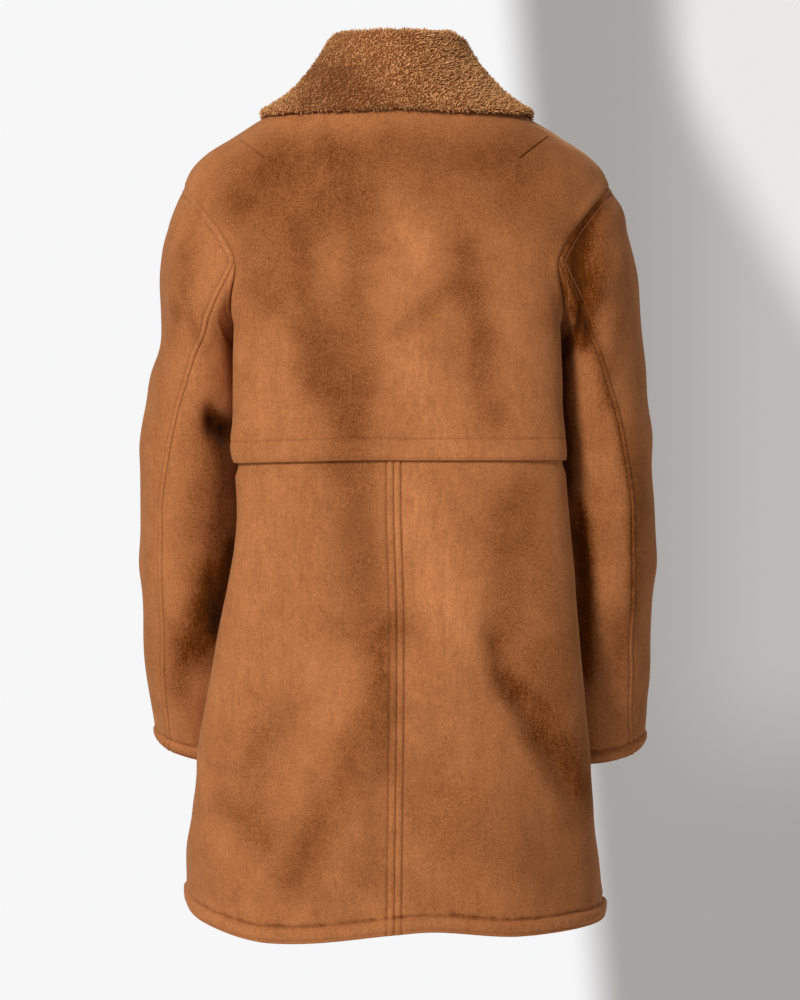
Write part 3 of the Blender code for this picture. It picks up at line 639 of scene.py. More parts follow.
def makeGrain():
    # fine raised grain for bump, with a little of it stretched one way
    tree, given, out = newGroup("fineGrain", "ShaderNodeTree", [
        ("Vector", "NodeSocketVector", None), ("Grain Scale", "NodeSocketFloat", 900.0),
        ("Lump Scale", "NodeSocketFloat", 160.0), ("Lumps", "NodeSocketFloat", 0.4)],
        [("Height", "NodeSocketFloat")])
    grain = noiseNode(tree, given["Vector"], given["Grain Scale"], 3.0, 0.7)
    lump = noiseNode(tree, given["Vector"], given["Lump Scale"], 3.0, 0.6)
    tree.links.new(mathNode(tree, "MULTIPLY_ADD", lump, given["Lumps"], grain), out["Height"])
    return tree


def grainBump(tree, grain, place, strength, distance, scales=None):
    # the bump and the height that it comes from
    fine = addNode(tree, "ShaderNodeGroup", {"Vector": place, **(scales or {})}, node_tree=grain).outputs[0]
    bump = addNode(tree, "ShaderNodeBump", {"Strength": strength, "Distance": distance, "Height": fine})
    return bump.outputs[0], fine


def newMaterial(name, **settings):
    made = bpy.data.materials.new(name)
    made.use_nodes = True
    shader = made.node_tree.nodes["Principled BSDF"]
    for key, value in settings.items():
        shader.inputs[key].default_value = value
    return made, made.node_tree, shader


def attribute(tree, name):
    return addNode(tree, "ShaderNodeAttribute", attribute_name=name).outputs["Fac"]


def mixColours(tree, share, a, b):
    node = addNode(tree, "ShaderNodeMix", data_type="RGBA")
    for key, value in ((0, share), (6, a), (7, b)):
        if isinstance(value, bpy.types.NodeSocket):
            tree.links.new(value, node.inputs[key])
        else:
            node.inputs[key].default_value = value
    return node.outputs[2]


suedeLook = {
    "light": shade(214, 138, 87),
    "dark": shade(96, 49, 9),
    # the ramp's bottom: painted shadow for the deepest pits and gaps
    "paintedShadow": shade(30, 16, 8),
    "patchSize": 11.0,
    "patches": 0.29,
    "streaks": 0.40,
    "fleck": 0.84,
    "surface": {"Roughness": 0.92, "Metallic": 0.0, "Sheen Weight": 0.27, "Sheen Roughness": 0.32,
                "Sheen Tint": shade(255, 196, 140), "Specular IOR Level": 0.12},
    "bump": 0.35,
    "bumpDepth": 0.001,
    "grooveShade": 0.20,
    "ridgeHighlight": 0.03,
    # laid nap and painted shade from the marks: how streaky it is, and the shade past which it is even
    "brushed": (2.6, -0.30),
    "evenPast": 0.40,
    # from the tone, with its painted shade, to a place on the ramp of colours, and to the roughness
    "toRamp": (0.75, 0.25),
    "ramp": [(0.0, "paintedShadow"), (0.31, "dark"), (0.94, "light")],
    "toRoughness": (-0.10, 0.97),
    "crease": 0.6,
    "creaseDepth": 0.0012,
    # the small tucks sewn at the shoulders, drawn as painted shade lines that a bump sinks: start, way and
    # half width, how dark
    "tuckShadeLines": [((-0.153, 0, -0.063), (0.029, 0, -0.024), 0.0016, 0.34),
              ((0.159, 0, -0.066), (-0.027, 0, -0.0215), 0.0013, 0.10)],
}

fleeceLook = {
    "light": shade(255, 190, 126),
    "dark": shade(150, 86, 38),
    # the roots' colours: darker, as painted shade in the gaps between the curls
    "rootLight": shade(150, 88, 45),
    "root": shade(104, 56, 25),
    "surface": {"Roughness": 0.95, "Sheen Weight": 0.36, "Sheen Roughness": 0.5,
                "Sheen Tint": shade(255, 206, 156), "Specular IOR Level": 0.2},
    "patches": {"Patch Size": 14.0, "Patches": 0.7, "Streaks": 0.05, "Fleck": 0.7},
    "grain": {"Grain Scale": 1500.0, "Lump Scale": 330.0, "Lumps": 1.6},
    "pileBump": 0.6,
    "curlBump": 0.35,
    "bumpDepth": 0.0015,
    # how much each curl's own tone and its tip add
    "curlTone": 0.55,
    "curlTip": 0.55,
}

hornLook = {
    "ramp": [(0.35, shade(38, 24, 15)), (0.72, shade(92, 58, 34))],
    "roughness": 0.32,
    "stretch": (60, 60, 190),
    "swirl": 1.2,
    "grain": 2500.0,
    "bump": 0.08,
    "bumpDepth": 0.0005,
    "toRoughness": (0.25, 0.2),
}
threadLook = {
    "colour": shade(134, 78, 40),
    # painted shade inside the needle holes; the buttons take it as a second finish
    "hole": shade(52, 24, 8),
    "roughness": 0.7,
    "paler": 1.7,
    "grain": 3000.0,
    "toMix": (0.5, 0.1),
    "bump": 0.4,
    "bumpDepth": 0.0003,
}


def makeSuede(patches, grain, lineMark):
    made, tree, shader = newMaterial("suedeFace", **suedeLook["surface"])
    where = addNode(tree, "ShaderNodeTexCoord").outputs["Object"]
    nap = addNode(tree, "ShaderNodeGroup", {
        "Vector": where, "Patch Size": suedeLook["patchSize"], "Patches": suedeLook["patches"],
        "Streaks": suedeLook["streaks"], "Fleck": suedeLook["fleck"]}, node_tree=patches)
    # darker where the marks lay the nap the other way or paint shade, unevenly so; the deepest painted shade
    # is even and runs towards the painted shadow colour
    shaded, even = attribute(tree, "napAndPaintedShade"), suedeLook["evenPast"]
    streaky = mathNode(tree, "MULTIPLY_ADD", nap.outputs["Streak"], *suedeLook["brushed"])
    brushed = mathNode(tree, "MAXIMUM", streaky, 0.0)
    deep = mathNode(tree, "MAXIMUM", mathNode(tree, "SUBTRACT", shaded, even), 0.0)
    markedDark = mathNode(tree, "MULTIPLY_ADD", mathNode(tree, "MINIMUM", shaded, even), brushed, deep)
    tone = mathNode(tree, "SUBTRACT", nap.outputs["Mask"], markedDark)
    # painted shade in the seams' grooves and painted highlight on their ridges
    seamShadeAndHighlight = attribute(tree, "seamShadeAndHighlight")
    for limit, key in (("MINIMUM", "grooveShade"), ("MAXIMUM", "ridgeHighlight")):
        tone = mathNode(tree, "MULTIPLY_ADD", mathNode(tree, limit, seamShadeAndHighlight, 0.0), suedeLook[key], tone)
    # painted shade along each tuck's line, and a bump that sinks it
    sunk = 0.0
    for start, way, width, dark in suedeLook["tuckShadeLines"]:
        mark = addNode(tree, "ShaderNodeGroup", {"Vector": where, "Start": start, "Way": way, "Width": width},
                       node_tree=lineMark).outputs[0]
        sunk = mathNode(tree, "MAXIMUM", sunk, mark)
        tone = mathNode(tree, "MULTIPLY_ADD", mark, -dark, tone)
    onRamp = mathNode(tree, "MULTIPLY_ADD", tone, *suedeLook["toRamp"])
    ramp = addNode(tree, "ShaderNodeValToRGB", {"Fac": onRamp})
    ramp.color_ramp.elements.new(suedeLook["ramp"][1][0])
    for step, (place, key) in zip(ramp.color_ramp.elements, suedeLook["ramp"]):
        step.position, step.color = place, suedeLook[key]
    tree.links.new(ramp.outputs[0], shader.inputs["Base Color"])
    rough = mathNode(tree, "MULTIPLY_ADD", tone, *suedeLook["toRoughness"])
    tree.links.new(rough, shader.inputs["Roughness"])
    bump, _ = grainBump(tree, grain, where, suedeLook["bump"], suedeLook["bumpDepth"])
    creased = addNode(tree, "ShaderNodeBump", {
        "Strength": suedeLook["crease"], "Distance": suedeLook["creaseDepth"], "Height": sunk,
        "Normal": bump}, invert=True)
    tree.links.new(creased.outputs[0], shader.inputs["Normal"])
    return made


def makePile(name, patches, grain, light, dark, byCurl):
    # the fleece and the lining; the fleece's roots are given darker colours, painted shade in the gaps
    # between the curls, and the curls are paler towards their tips
    made, tree, shader = newMaterial(name, **fleeceLook["surface"])
    place = addNode(tree, "ShaderNodeTexCoord").outputs["Object"]
    soft = addNode(tree, "ShaderNodeGroup", {"Vector": place, **fleeceLook["patches"]}, node_tree=patches)
    mask = soft.outputs[0]
    if byCurl:
        tone = mathNode(tree, "MULTIPLY_ADD", attribute(tree, "curlTone"), fleeceLook["curlTone"], mask)
        centred = mathNode(tree, "SUBTRACT", tone, 0.5)
        mask = mathNode(tree, "MULTIPLY_ADD", attribute(tree, "curlTip"), fleeceLook["curlTip"], centred)
    mask = mathNode(tree, "SUBTRACT", mask, attribute(tree, "napAndPaintedShade"), clamp=True)
    tree.links.new(mixColours(tree, mask, dark, light), shader.inputs["Base Color"])
    strength = fleeceLook["curlBump" if byCurl else "pileBump"]
    bump, _ = grainBump(tree, grain, place, strength, fleeceLook["bumpDepth"], fleeceLook["grain"])
    tree.links.new(bump, shader.inputs["Normal"])
    return made


def makeHorn(grain):
    made, tree, shader = newMaterial("hornFinish", Roughness=hornLook["roughness"])
    place = addNode(tree, "ShaderNodeTexCoord").outputs["Object"]
    swirl = noiseNode(tree, place, 1.0, 4.0, 0.6, hornLook["stretch"], hornLook["swirl"])
    ramp = addNode(tree, "ShaderNodeValToRGB", {"Fac": swirl})
    for step, (at, colour) in zip(ramp.color_ramp.elements, hornLook["ramp"]):
        step.position, step.color = at, colour
    tree.links.new(ramp.outputs[0], shader.inputs["Base Color"])
    bump, _ = grainBump(tree, grain, place, hornLook["bump"], hornLook["bumpDepth"],
                        {"Grain Scale": hornLook["grain"]})
    tree.links.new(bump, shader.inputs["Normal"])
    rough = mathNode(tree, "MULTIPLY_ADD", swirl, *hornLook["toRoughness"])
    tree.links.new(rough, shader.inputs["Roughness"])
    return made


def makeThread(name, colour, grain):
    made, tree, shader = newMaterial(name, Roughness=threadLook["roughness"])
    place = addNode(tree, "ShaderNodeTexCoord").outputs["Object"]
    bump, fine = grainBump(tree, grain, place, threadLook["bump"], threadLook["bumpDepth"],
                           {"Grain Scale": threadLook["grain"]})
    tone = mathNode(tree, "MULTIPLY_ADD", fine, *threadLook["toMix"], clamp=True)
    paler = tuple(min(1.0, c * threadLook["paler"]) for c in colour[:3]) + (1.0,)
    tree.links.new(mixColours(tree, tone, colour, paler), shader.inputs["Base Color"])
    tree.links.new(bump, shader.inputs["Normal"])
    return made


patchGroup, grainGroup = makePatches(), makeGrain()
suede = makeSuede(patchGroup, grainGroup, makeLineMark())
lining = makePile("liningPile", patchGroup, grainGroup, fleeceLook["light"], fleeceLook["dark"], False)
# the fleece's roots: darker colours, painted shade between the curls
fleece = makePile("fleeceRoots", patchGroup, grainGroup, fleeceLook["rootLight"], fleeceLook["root"], False)
curls = makePile("fleeceCurls", patchGroup, grainGroup, fleeceLook["light"], fleeceLook["dark"], True)
horn = makeHorn(grainGroup)
thread = makeThread("seamThread", threadLook["colour"], grainGroup)
needleHoleShade = makeThread("needleHoleShade", threadLook["hole"], grainGroup)
print("finishes made")


# Body panels

# Where the body is darker: laid nap in places, and painted shade along folds, troughs and creases; a negative
# amount paints it lighter. Side, start and end as for folds, half the width, how dark
napAndShadeMarks = [
    ("back", (0.155, -0.100), (0.060, -0.120), 0.032, 0.20),
    ("back", (0.120, -0.085), (-0.120, -0.085), 0.026, 0.21),
    ("back", (0.070, -0.082), (0.040, -0.090), 0.020, 0.12),
    ("back", (0.100, -0.140), (0.040, -0.135), 0.030, 0.22),
    ("back", (-0.020, -0.132), (-0.110, -0.130), 0.030, 0.16),
    ("back", (-0.110, -0.080), (-0.165, -0.130), 0.034, 0.11),
    ("back", (0.152, -0.145), (0.126, -0.225), 0.030, 0.26),
    ("back", (0.100, -0.165), (0.083, -0.250), (0.056, -0.385), 0.020, 0.28),
    ("back", (0.037, -0.180), (0.040, -0.350), 0.020, 0.24),
    ("back", (-0.070, -0.185), (-0.082, -0.260), (-0.092, -0.345), 0.017, 0.24),
    ("back", (-0.110, -0.150), (-0.165, -0.165), 0.034, 0.05),
    ("back", (-0.170, -0.140), (-0.180, -0.330), 0.028, 0.04),
    ("back", (-0.168, -0.165), (-0.176, -0.225), 0.012, 0.26),
    ("back", (-0.003, -0.262), (-0.062, -0.222), 0.008, 0.11),
    ("back", (-0.020, -0.300), (-0.040, -0.380), 0.020, -0.08),
    ("back", (-0.005, -0.140), (-0.020, -0.170), 0.022, -0.14),
    ("back", (0.030, -0.410), (0.032, -0.560), 0.026, 0.20),
    ("back", (-0.010, -0.430), (-0.060, -0.560), 0.034, -0.13),
    ("back", (-0.112, -0.440), (-0.106, -0.545), 0.024, 0.20),
    ("back", (0.012, -0.560), (0.024, -0.627), (0.041, -0.671), (0.058, -0.711), (0.080, -0.755),
     (0.098, -0.800), 0.019, 0.29),
    ("back", (0.012, -0.590), (0.012, -0.690), 0.012, 0.20),
    ("back", (0.098, -0.630), (0.150, -0.700), 0.020, 0.09),
    ("back", (0.172, -0.733), (0.140, -0.760), 0.018, 0.20),
    ("back", (0.010, -0.835), (0.060, -0.800), 0.016, -0.08),
    ("back", (0.180, -0.800), (-0.060, -0.815), 0.040, 0.05),
    ("back", (-0.101, -0.574), (-0.105, -0.596), (-0.116, -0.618), 0.013, 0.30),
    ("back", (-0.118, -0.622), (-0.152, -0.668), (-0.178, -0.712), 0.016, 0.34),
    ("back", (-0.140, -0.590), (-0.160, -0.650), (-0.190, -0.730), 0.032, 0.22),
    ("back", (-0.175, -0.740), (-0.190, -0.830), 0.026, 0.10),
    ("back", (-0.040, -0.722), (-0.115, -0.787), 0.034, 0.12),
    ("back", (-0.130, -0.420), (-0.165, -0.560), 0.020, 0.12),
    ("front", (0.120, -0.180), (0.090, -0.420), 0.036, 0.16),
    ("front", (-0.110, -0.200), (-0.095, -0.460), 0.034, 0.14),
    ("front", (0.120, -0.600), (0.150, -0.800), 0.036, 0.14),
    ("front", (-0.090, -0.580), (-0.150, -0.790), 0.034, 0.14),
]

# The same on the sleeves: painted shadow in the pit and the gap between sleeve and body and where the body
# shades the right sleeve, laid nap elsewhere, and painted light where an amount is negative. Side, start, end
# and half widths as for the sleeves' folds
sleeveMarks = [
    ("left", (60, 0.080), (86, 0.175), (14, 0.030), 0.18),
    ("left", (62, 0.175), (60, 0.190), (10, 0.020), 0.14),
    ("left", (119, 0.332), (152, 0.345), (14, 0.040), 0.66),
    ("left", (124, 0.400), (124, 0.540), (112, 0.700), (15, 0.040), 0.26),
    ("left", (138, 0.585), (134, 0.620), (127, 0.670), (119, 0.740), (8, 0.026), 0.50),
    ("left", (98, 0.380), (100, 0.560), (18, 0.050), 0.10),
    ("left", (84, 0.620), (88, 0.700), (14, 0.040), 0.08),
    ("left", (110, 0.650), (103, 0.760), (13, 0.045), 0.32),
    ("left", (94, 0.660), (90, 0.760), (12, 0.045), 0.14),
    ("left", (124, 0.160), (132, 0.260), (16, 0.040), -0.26),
    ("left", (80, 0.760), (76, 0.840), (16, 0.040), 0.26),
    ("left", (10, 0.150), (10, 0.880), (60, 0.100), 0.07),
    ("right", (104, 0.130), (87, 0.230), (71, 0.340), (64, 0.460), (59, 0.570), (55, 0.680),
     (7, 0.030), 0.26),
    ("right", (50, 0.440), (46, 0.680), (10, 0.050), 0.16),
    ("right", (15, 0.550), (20, 0.900), (40, 0.080), 0.06),
    ("right", (48, -0.005), (68, 0.012), (88, 0.030), (104, 0.060), (14, 0.022), 0.26),
    ("right", (112, 0.090), (104, 0.160), (9, 0.030), 0.20),
    ("right", (40, 0.000), (60, 0.026), (82, 0.056), (106, 0.096), (25, 0.044), 0.23),
    ("right", (30, 0.000), (60, 0.004), (90, 0.008), (124, 0.010), (14, 0.012), 0.08),
    ("right", (112, 0.000), (124, 0.060), (132, 0.120), (14, 0.030), 0.32),
    ("right", (70, 0.060), (104, 0.170), (28, 0.070), 0.12),
    ("right", (146, 0.060), (137, 0.280), (133, 0.390), (128, 0.450), (13, 0.040), 0.46),
    ("right", (118, 0.540), (112, 0.640), (109, 0.790), (13, 0.050), 0.50),
    ("right", (56, 0.210), (60, 0.230), (12, 0.030), 0.12),
    ("right", (90, 0.300), (94, 0.560), (20, 0.050), 0.06),
    ("right", (70, 0.740), (66, 0.800), (18, 0.045), 0.18),
]

undulation = {
    "wide": 0.095,
    "wideRise": 0.0014,
    "fine": 0.034,
    "fineRise": 0.00045,
    "bodySeed": 11,
    "sleeveSeed": 13,
}
# wobbles of the marks: how far, size of the lumps, seed
markLook = {
    "bodyWobbles": [(0.007, 0.045, 51), (0.004, 0.014, 61)],
    "turnWobbles": [(3.5, 0.030, 55), (1.5, 0.012, 57)],
    "alongWobble": (0.011, 0.030, 56),
    "darkest": 0.55,
    "fade": 0.04,
}


def driftHeight(points, seed):
    # the gentle unevenness of heavy cloth
    return (undulation["wideRise"] * latticeNoise(points, undulation["wide"], seed)
            + undulation["fineRise"] * latticeNoise(points, undulation["fine"], seed + 1))


def torsoRise(point):
    # folds and unevenness of the body's cloth
    return torsoFoldHeight(point) + driftHeight(point, undulation["bodySeed"])


# laid nap and painted shade from the marks, summed and held under the darkest
def napAndShadeAt(points):
    shadeSum, wobble = np.zeros(points.shape[:-1]), np.zeros(points.shape)
    for far, size, seed in markLook["bodyWobbles"]:
        wobble += far * np.stack([latticeNoise(points, size, seed + k) for k in range(3)], axis=-1)
    moved = points + wobble
    for side, *path, width, dark in napAndShadeMarks:
        outward = points[..., 1] if side == "back" else -points[..., 1]
        near = softPath(moved[..., 0], moved[..., 2], path, width)
        shadeSum += dark * near * stepUp(outward / markLook["fade"])
    return markLook["darkest"] * (1 - np.exp(-shadeSum / markLook["darkest"]))


# the sleeves' laid nap, painted shade and painted light from their marks
def sleeveShadeAt(side, turn, along, points):
    for far, size, seed in markLook["turnWobbles"]:
        turn = turn + far * latticeNoise(points, size, seed)
    far, size, seed = markLook["alongWobble"]
    return sleeveLines(sleeveMarks, side, turn, along + far * latticeNoise(points, size, seed))


wallLook = {
    "edgeRound": 0.0016,  # free and lapped edges
    "seamRound": 0.0008,  # edges that are sewn together
    "turnUp": 0.0016,
    "turnUpWidth": 0.016,
    "turnUpFade": 0.004,
    "fleeceLumps": (0.0006, 0.006, 5),
    "fleeceSunk": 0.0004,
    # how much the rounded edges darken, as painted shade
    "roundShade": 0.6,
    "fullTone": 0.0012,  # the height that makes the painted highlight on a ridge as pale as it gets
}


def closeWall(name, base, normal, shape, facingSides, bandSides, napAndPaintedShade):
    height, rounded, away = shape
    outer = base + normal * (height - rounded)[..., None]
    band = np.zeros(height.shape)
    for side in bandSides:
        within = stepUp((wallLook["turnUpWidth"] - away[side]) / wallLook["turnUpFade"])
        band = np.maximum(band, wallLook["turnUp"] * within)
    inner = base - normal * (coat["cloth"] - rounded + band)[..., None]
    facing = np.zeros(height.shape, bool)
    for side in facingSides:
        facing |= away[side] < coat["facing"]
    far, size, seed = wallLook["fleeceLumps"]
    sunk = far * latticeNoise(base, size, seed) + wallLook["fleeceSunk"]
    inner -= normal * np.where(facing, 0.0, sunk)[..., None]
    # painted shade in the grooves and along rounded edges, and a little painted highlight on the ridges
    seamShadeAndHighlight = (height - rounded * wallLook["roundShade"]) / wallLook["fullTone"]
    tones = {"seamShadeAndHighlight": np.clip(seamShadeAndHighlight, -1, 1), "napAndPaintedShade": napAndPaintedShade}
    made = addWall(name, outer, inner, [suede, lining], facing, tones)
    return made, {"outer": outer, "normal": normal, "away": away}


def bodyRows(stop):
    # drops down to the hem; along the armhole they gather where its edge runs level
    shoulder = np.linspace(coat["neckDrop"], armhole["top"], 24)[:-1]
    hole = armholeDrop(np.arange(0, 181, 5))
    lower = np.arange(armhole["bottom"] + coat["gridStep"], stop, coat["gridStep"])
    return np.concatenate([shoulder, hole, lower])


def sideEdge(drop, sign):
    inside = (drop > armhole["top"]) & (drop < armhole["bottom"])
    return np.where(inside, np.interp(sign * armholeTurn(drop), armholeTurns, armholeAngles), 0.0)


def dressBody(name, drop, start, end, steps, seams, facing=(), bands=(), lift=None, pucker=()):
    angles = spreadAngles(
        lambda trial, row: torsoPoint(trial, drop[row]), start, end, *steps, coat["gridStep"])
    drops = np.broadcast_to(drop[:, None], angles.shape)
    bare, normal = torsoPoint(angles, drops), torsoNormal(angles, drops)
    raised = torsoRise(bare)
    if lift:
        raised = raised + lift(bare, drops)
    base = bare + normal * raised[..., None]
    free = {side: side in facing or seams[side] == "yokeEdge" for side in seams}
    rounding = {side: wallLook["edgeRound" if free[side] else "seamRound"] for side in seams}
    shape = panelShape(base, seams, rounding, pucker)
    return closeWall(name, base, normal, shape, facing, bands, napAndShadeAt(base))


# puckers: the edge, how far in, over how much, how high, size of the lumps, seed
hemPucker = [
    ("bottom", 0.0176, 0.0034, 0.0013, 0.0060, 21),
    ("bottom", 0.0250, 0.0080, 0.0008, 0.013, 22),
    ("bottom", 0.0100, 0.0060, 0.0007, 0.011, 23),
]
yokePucker = [
    ("bottom", 0.0218, 0.004, 0.0003, 0.010, 24),
    ("end", 0.006, 0.006, 0.0004, 0.012, 25),
    ("start", 0.006, 0.006, 0.0004, 0.012, 25),
]
fromHem = coat["hemDrop"] - np.array(fineSteps["hem"])[::-1]
fromYokeEdge = coat["yokeDrop"] - np.array(fineSteps["yoke"])[::-1]
shapes, panels = {}, {}

yokeDrop = np.concatenate([bodyRows(fromYokeEdge[0] - 0.002), fromYokeEdge])
leftEdge = sideEdge(yokeDrop, 1)
lapLook = {
    "sideFrom": 0.068,
    "sideOver": 0.05,
    "sidePinch": 0.0040,
    "wave": (0.0005, 0.05, 31),
    "sunk": 0.0006,
    "backOutAt": 0.015,
    "backOutOver": 0.013,
}


def besideSide(point):
    # 0 near the side seams, 1 over the rest of the back
    return stepUp((point[..., 1] - lapLook["sideFrom"]) / lapLook["sideOver"])


def yokeLap(point, drop):
    share = (drop - coat["yokeDrop"] + coat["yokeTuck"] * 3) / (2 * coat["yokeTuck"])
    high, size, seed = lapLook["wave"]
    wave = high * (1 + latticeNoise(point * np.array([1, 0, 0]), size, seed))
    lap = (coat["cloth"] + 2 * coat["gap"] + wave) * besideSide(point)
    return (lap - lapLook["sidePinch"] * (point[..., 0] > 0) * (1 - besideSide(point))) * stepUp(share)


def underYoke(point, drop):
    # towards the sides the lower back bends in under the yoke instead
    pinch = lapLook["sidePinch"] * (point[..., 0] > 0)
    sunk = (coat["cloth"] + 2 * coat["gap"] + lapLook["sunk"] + pinch) * (1 - besideSide(point))
    return -sunk * stepUp((coat["yokeDrop"] + lapLook["backOutAt"] - drop) / lapLook["backOutOver"])


panels["yoke"], shapes["yoke"] = dressBody(
    "back_yoke_cloth", yokeDrop, 180 - leftEdge, leftEdge, ("seam", "seam"),
    {"start": "armholeBody", "end": "armholeBody", "bottom": "yokeEdge", "top": None}, lift=yokeLap,
    pucker=yokePucker)
print("yoke made")

lowerTop = coat["yokeDrop"] - coat["yokeTuck"]
lowerDrop = np.concatenate([np.arange(lowerTop, fromHem[0] - 0.002, coat["gridStep"]), fromHem])
# the centre seam leans a little to the left at both ends: degrees, from which drop, over how much
topLean, hemLean = (1.3, 0.56, 0.14), (0.9, 0.60, 0.25)
centre = 90.0 - topLean[0] * stepUp((topLean[1] - lowerDrop) / topLean[2])
centre = centre - hemLean[0] * stepUp((lowerDrop - hemLean[1]) / hemLean[2])
side = np.zeros(len(lowerDrop))
lowerSeams = {"start": "openSeam", "end": "plain", "bottom": "turnedHem", "top": None}
lowerPucker = hemPucker + [("start", 0.0075, 0.003, 0.00025, 0.008, 26)]
panels["lowerLeft"], shapes["lowerLeft"] = dressBody(
    "back_lower_left_cloth", lowerDrop, centre, side, ("stitched", "seam"), lowerSeams,
    ("bottom",), ("bottom",), lift=underYoke, pucker=lowerPucker)
panels["lowerRight"], shapes["lowerRight"] = dressBody(
    "back_lower_right_cloth", lowerDrop, centre, 180 - side, ("stitched", "seam"), lowerSeams,
    ("bottom",), ("bottom",), lift=underYoke, pucker=lowerPucker)
print("lower back made")

frontDrop = np.concatenate([bodyRows(fromHem[0] - 0.002), fromHem])
frontSide = sideEdge(frontDrop, -1)
frontLook = {
    "edgeSpare": 0.002,
    "hemBand": 0.0038,
    "hemBandWidth": 0.021,
    "hemBandFade": 0.006,
    "hemLift": 1.6,
}
trialFront = np.linspace(-180, 0, 1441)
frontLap = np.array([
    np.interp(-coat["frontOverlap"], torsoPoint(trialFront, row)[:, 0], trialFront) for row in frontDrop])


def overFront(point, drop):
    over = coat["frontRise"] - coat["frontOverlap"] - frontLook["edgeSpare"]
    share = (coat["frontRise"] - point[..., 0]) / over
    inBand = (frontLook["hemBandWidth"] - (coat["hemDrop"] - drop)) / frontLook["hemBandFade"]
    band = frontLook["hemBand"] * stepUp(inBand)
    return (coat["cloth"] + 2 * coat["gap"] + frontLook["hemLift"] * band) * stepUp(share)


def frontHeight(point, drop):
    # the left front's outer face over the bare form
    return torsoRise(point) + overFront(point, drop)


frontSeams = {"start": "armholeBody", "end": "frontEdge", "bottom": "turnedHem", "top": None}
for frontName, turnBack, lift in (("left", lambda a: a, overFront), ("right", lambda a: -180 - a, None)):
    panels[frontName + "Front"], shapes[frontName + "Front"] = dressBody(
        f"front_{frontName}_cloth", frontDrop, turnBack(frontSide), turnBack(frontLap), ("seam", "stitched"),
        frontSeams, ("bottom", "end"), ("bottom",), lift=lift, pucker=hemPucker)
print("fronts made")


# Sleeves

sleeveLook = {
    "cuffScale": 0.86,  # of the hem's turn-up
    "rootScale": 0.6,
    "loose": (0.10, 0.08),
    "armholeGap": 0.0006,
    # how far each cuff hangs lower and stands out, from which share of the length, over how much
    "cuffDrop": {"left": 0.006, "right": 0.011},
    "dropFrom": (0.55, 0.45),
    "cuffOut": {"left": 0.0, "right": 0.007},
    "outFrom": (0.84, 0.16),
    "outsideShare": (0.6, 0.4),
    "pucker": [("bottom", 0.0155, 0.004, 0.0007, 0.008, 27), ("top", 0.007, 0.005, 0.0005, 0.010, 28)],
}
cuffScale = sleeveLook["cuffScale"]
seamShapes["turnedCuff"] = [(place * cuffScale, height) for place, height in seamShapes["turnedHem"]]


def dressSleeve(side, part, fromSeam, toSeam, steps, seams):
    sign = 1 if side == "left" else -1
    root = np.array(fineSteps["stitched"]) / sleeveLook["rootScale"]
    cuff = 1 - np.array(fineSteps["hem"])[::-1] * cuffScale / coat["sleeveLength"]
    between = np.arange(root[-1], cuff[0], coat["gridStep"] / coat["sleeveLength"])[1:-1]
    along = np.concatenate([root, between, cuff])
    start, end = sleeveAt(along, fromSeam), sleeveAt(along, toSeam)
    end = np.where(end < start, end + 360, end)
    turns = spreadAngles(
        lambda trial, row: sleevePoint(trial, along[row]), start, end, *steps, coat["gridStep"])
    alongs = np.broadcast_to(along[:, None], turns.shape)
    bare, normal = sleevePoint(turns, alongs), sleeveNormal(turns, alongs)
    wrapped = (turns + 180) % 360 - 180
    loose = stepUp(alongs / sleeveLook["loose"][0]) * stepUp((1 - alongs) / sleeveLook["loose"][1])
    drift = driftHeight(bare, undulation["sleeveSeed"] + sign)
    raised = sleeveFoldHeight(side, wrapped, alongs) + drift * loose
    base = bare + normal * raised[..., None]
    base[0] -= unit(base[1] - base[0]) * sleeveLook["armholeGap"]
    even, outside = sleeveLook["outsideShare"]
    (dropFrom, dropOver), (outFrom, outOver) = sleeveLook["dropFrom"], sleeveLook["outFrom"]
    hang = sleeveLook["cuffDrop"][side] * (even + outside * np.cos(np.radians(turns)))
    base[..., 2] -= hang * stepUp((alongs - dropFrom) / dropOver)
    base[..., 0] += sleeveLook["cuffOut"][side] * stepUp((alongs - outFrom) / outOver)
    rounding = {edge: wallLook["seamRound"] for edge in ("top", "start", "end")}
    rounding["bottom"] = wallLook["edgeRound"]
    shape = panelShape(base, seams, rounding, sleeveLook["pucker"])
    mirror = np.array([sign, 1.0, 1.0])
    return closeWall(f"sleeve_{side}_{part}_cloth", base * mirror, normal * mirror, shape, ("bottom",),
                     ("bottom",), sleeveShadeAt(side, wrapped, alongs, base))


for sideName in ("left", "right"):
    panels[sideName + "Upper"], shapes[sideName + "Upper"] = dressSleeve(
        sideName, "upper", "frontSeam", "backSeam", ("seam", "stitched"),
        {"top": "armholeSleeve", "start": "plain", "end": "sleeveWelt", "bottom": "turnedCuff"})
    panels[sideName + "Under"], shapes[sideName + "Under"] = dressSleeve(
        sideName, "under", "backSeam", "frontSeam", ("seam", "seam"),
        {"top": "armholeSleeve", "start": "plain", "end": "plain", "bottom": "turnedCuff"})
print("sleeves made")


# Collar

collarLook = {
    "overhangRows": [(-1, 1.0), (-2, 0.85), (-3, 0.5)],
    "underRound": 0.0009,
    "fleeceRound": 0.0024,
    "innerRound": 0.25,
    "lumps": [(0.0006, 0.0055, 41), (0.0009, 0.020, 42)],
    "rimCover": 0.6,
}


def roundedEdges(base, radius):
    # how far each point is let in where all four edges are rounded
    return panelShape(base, {}, dict.fromkeys(("top", "bottom", "start", "end"), radius))[1]


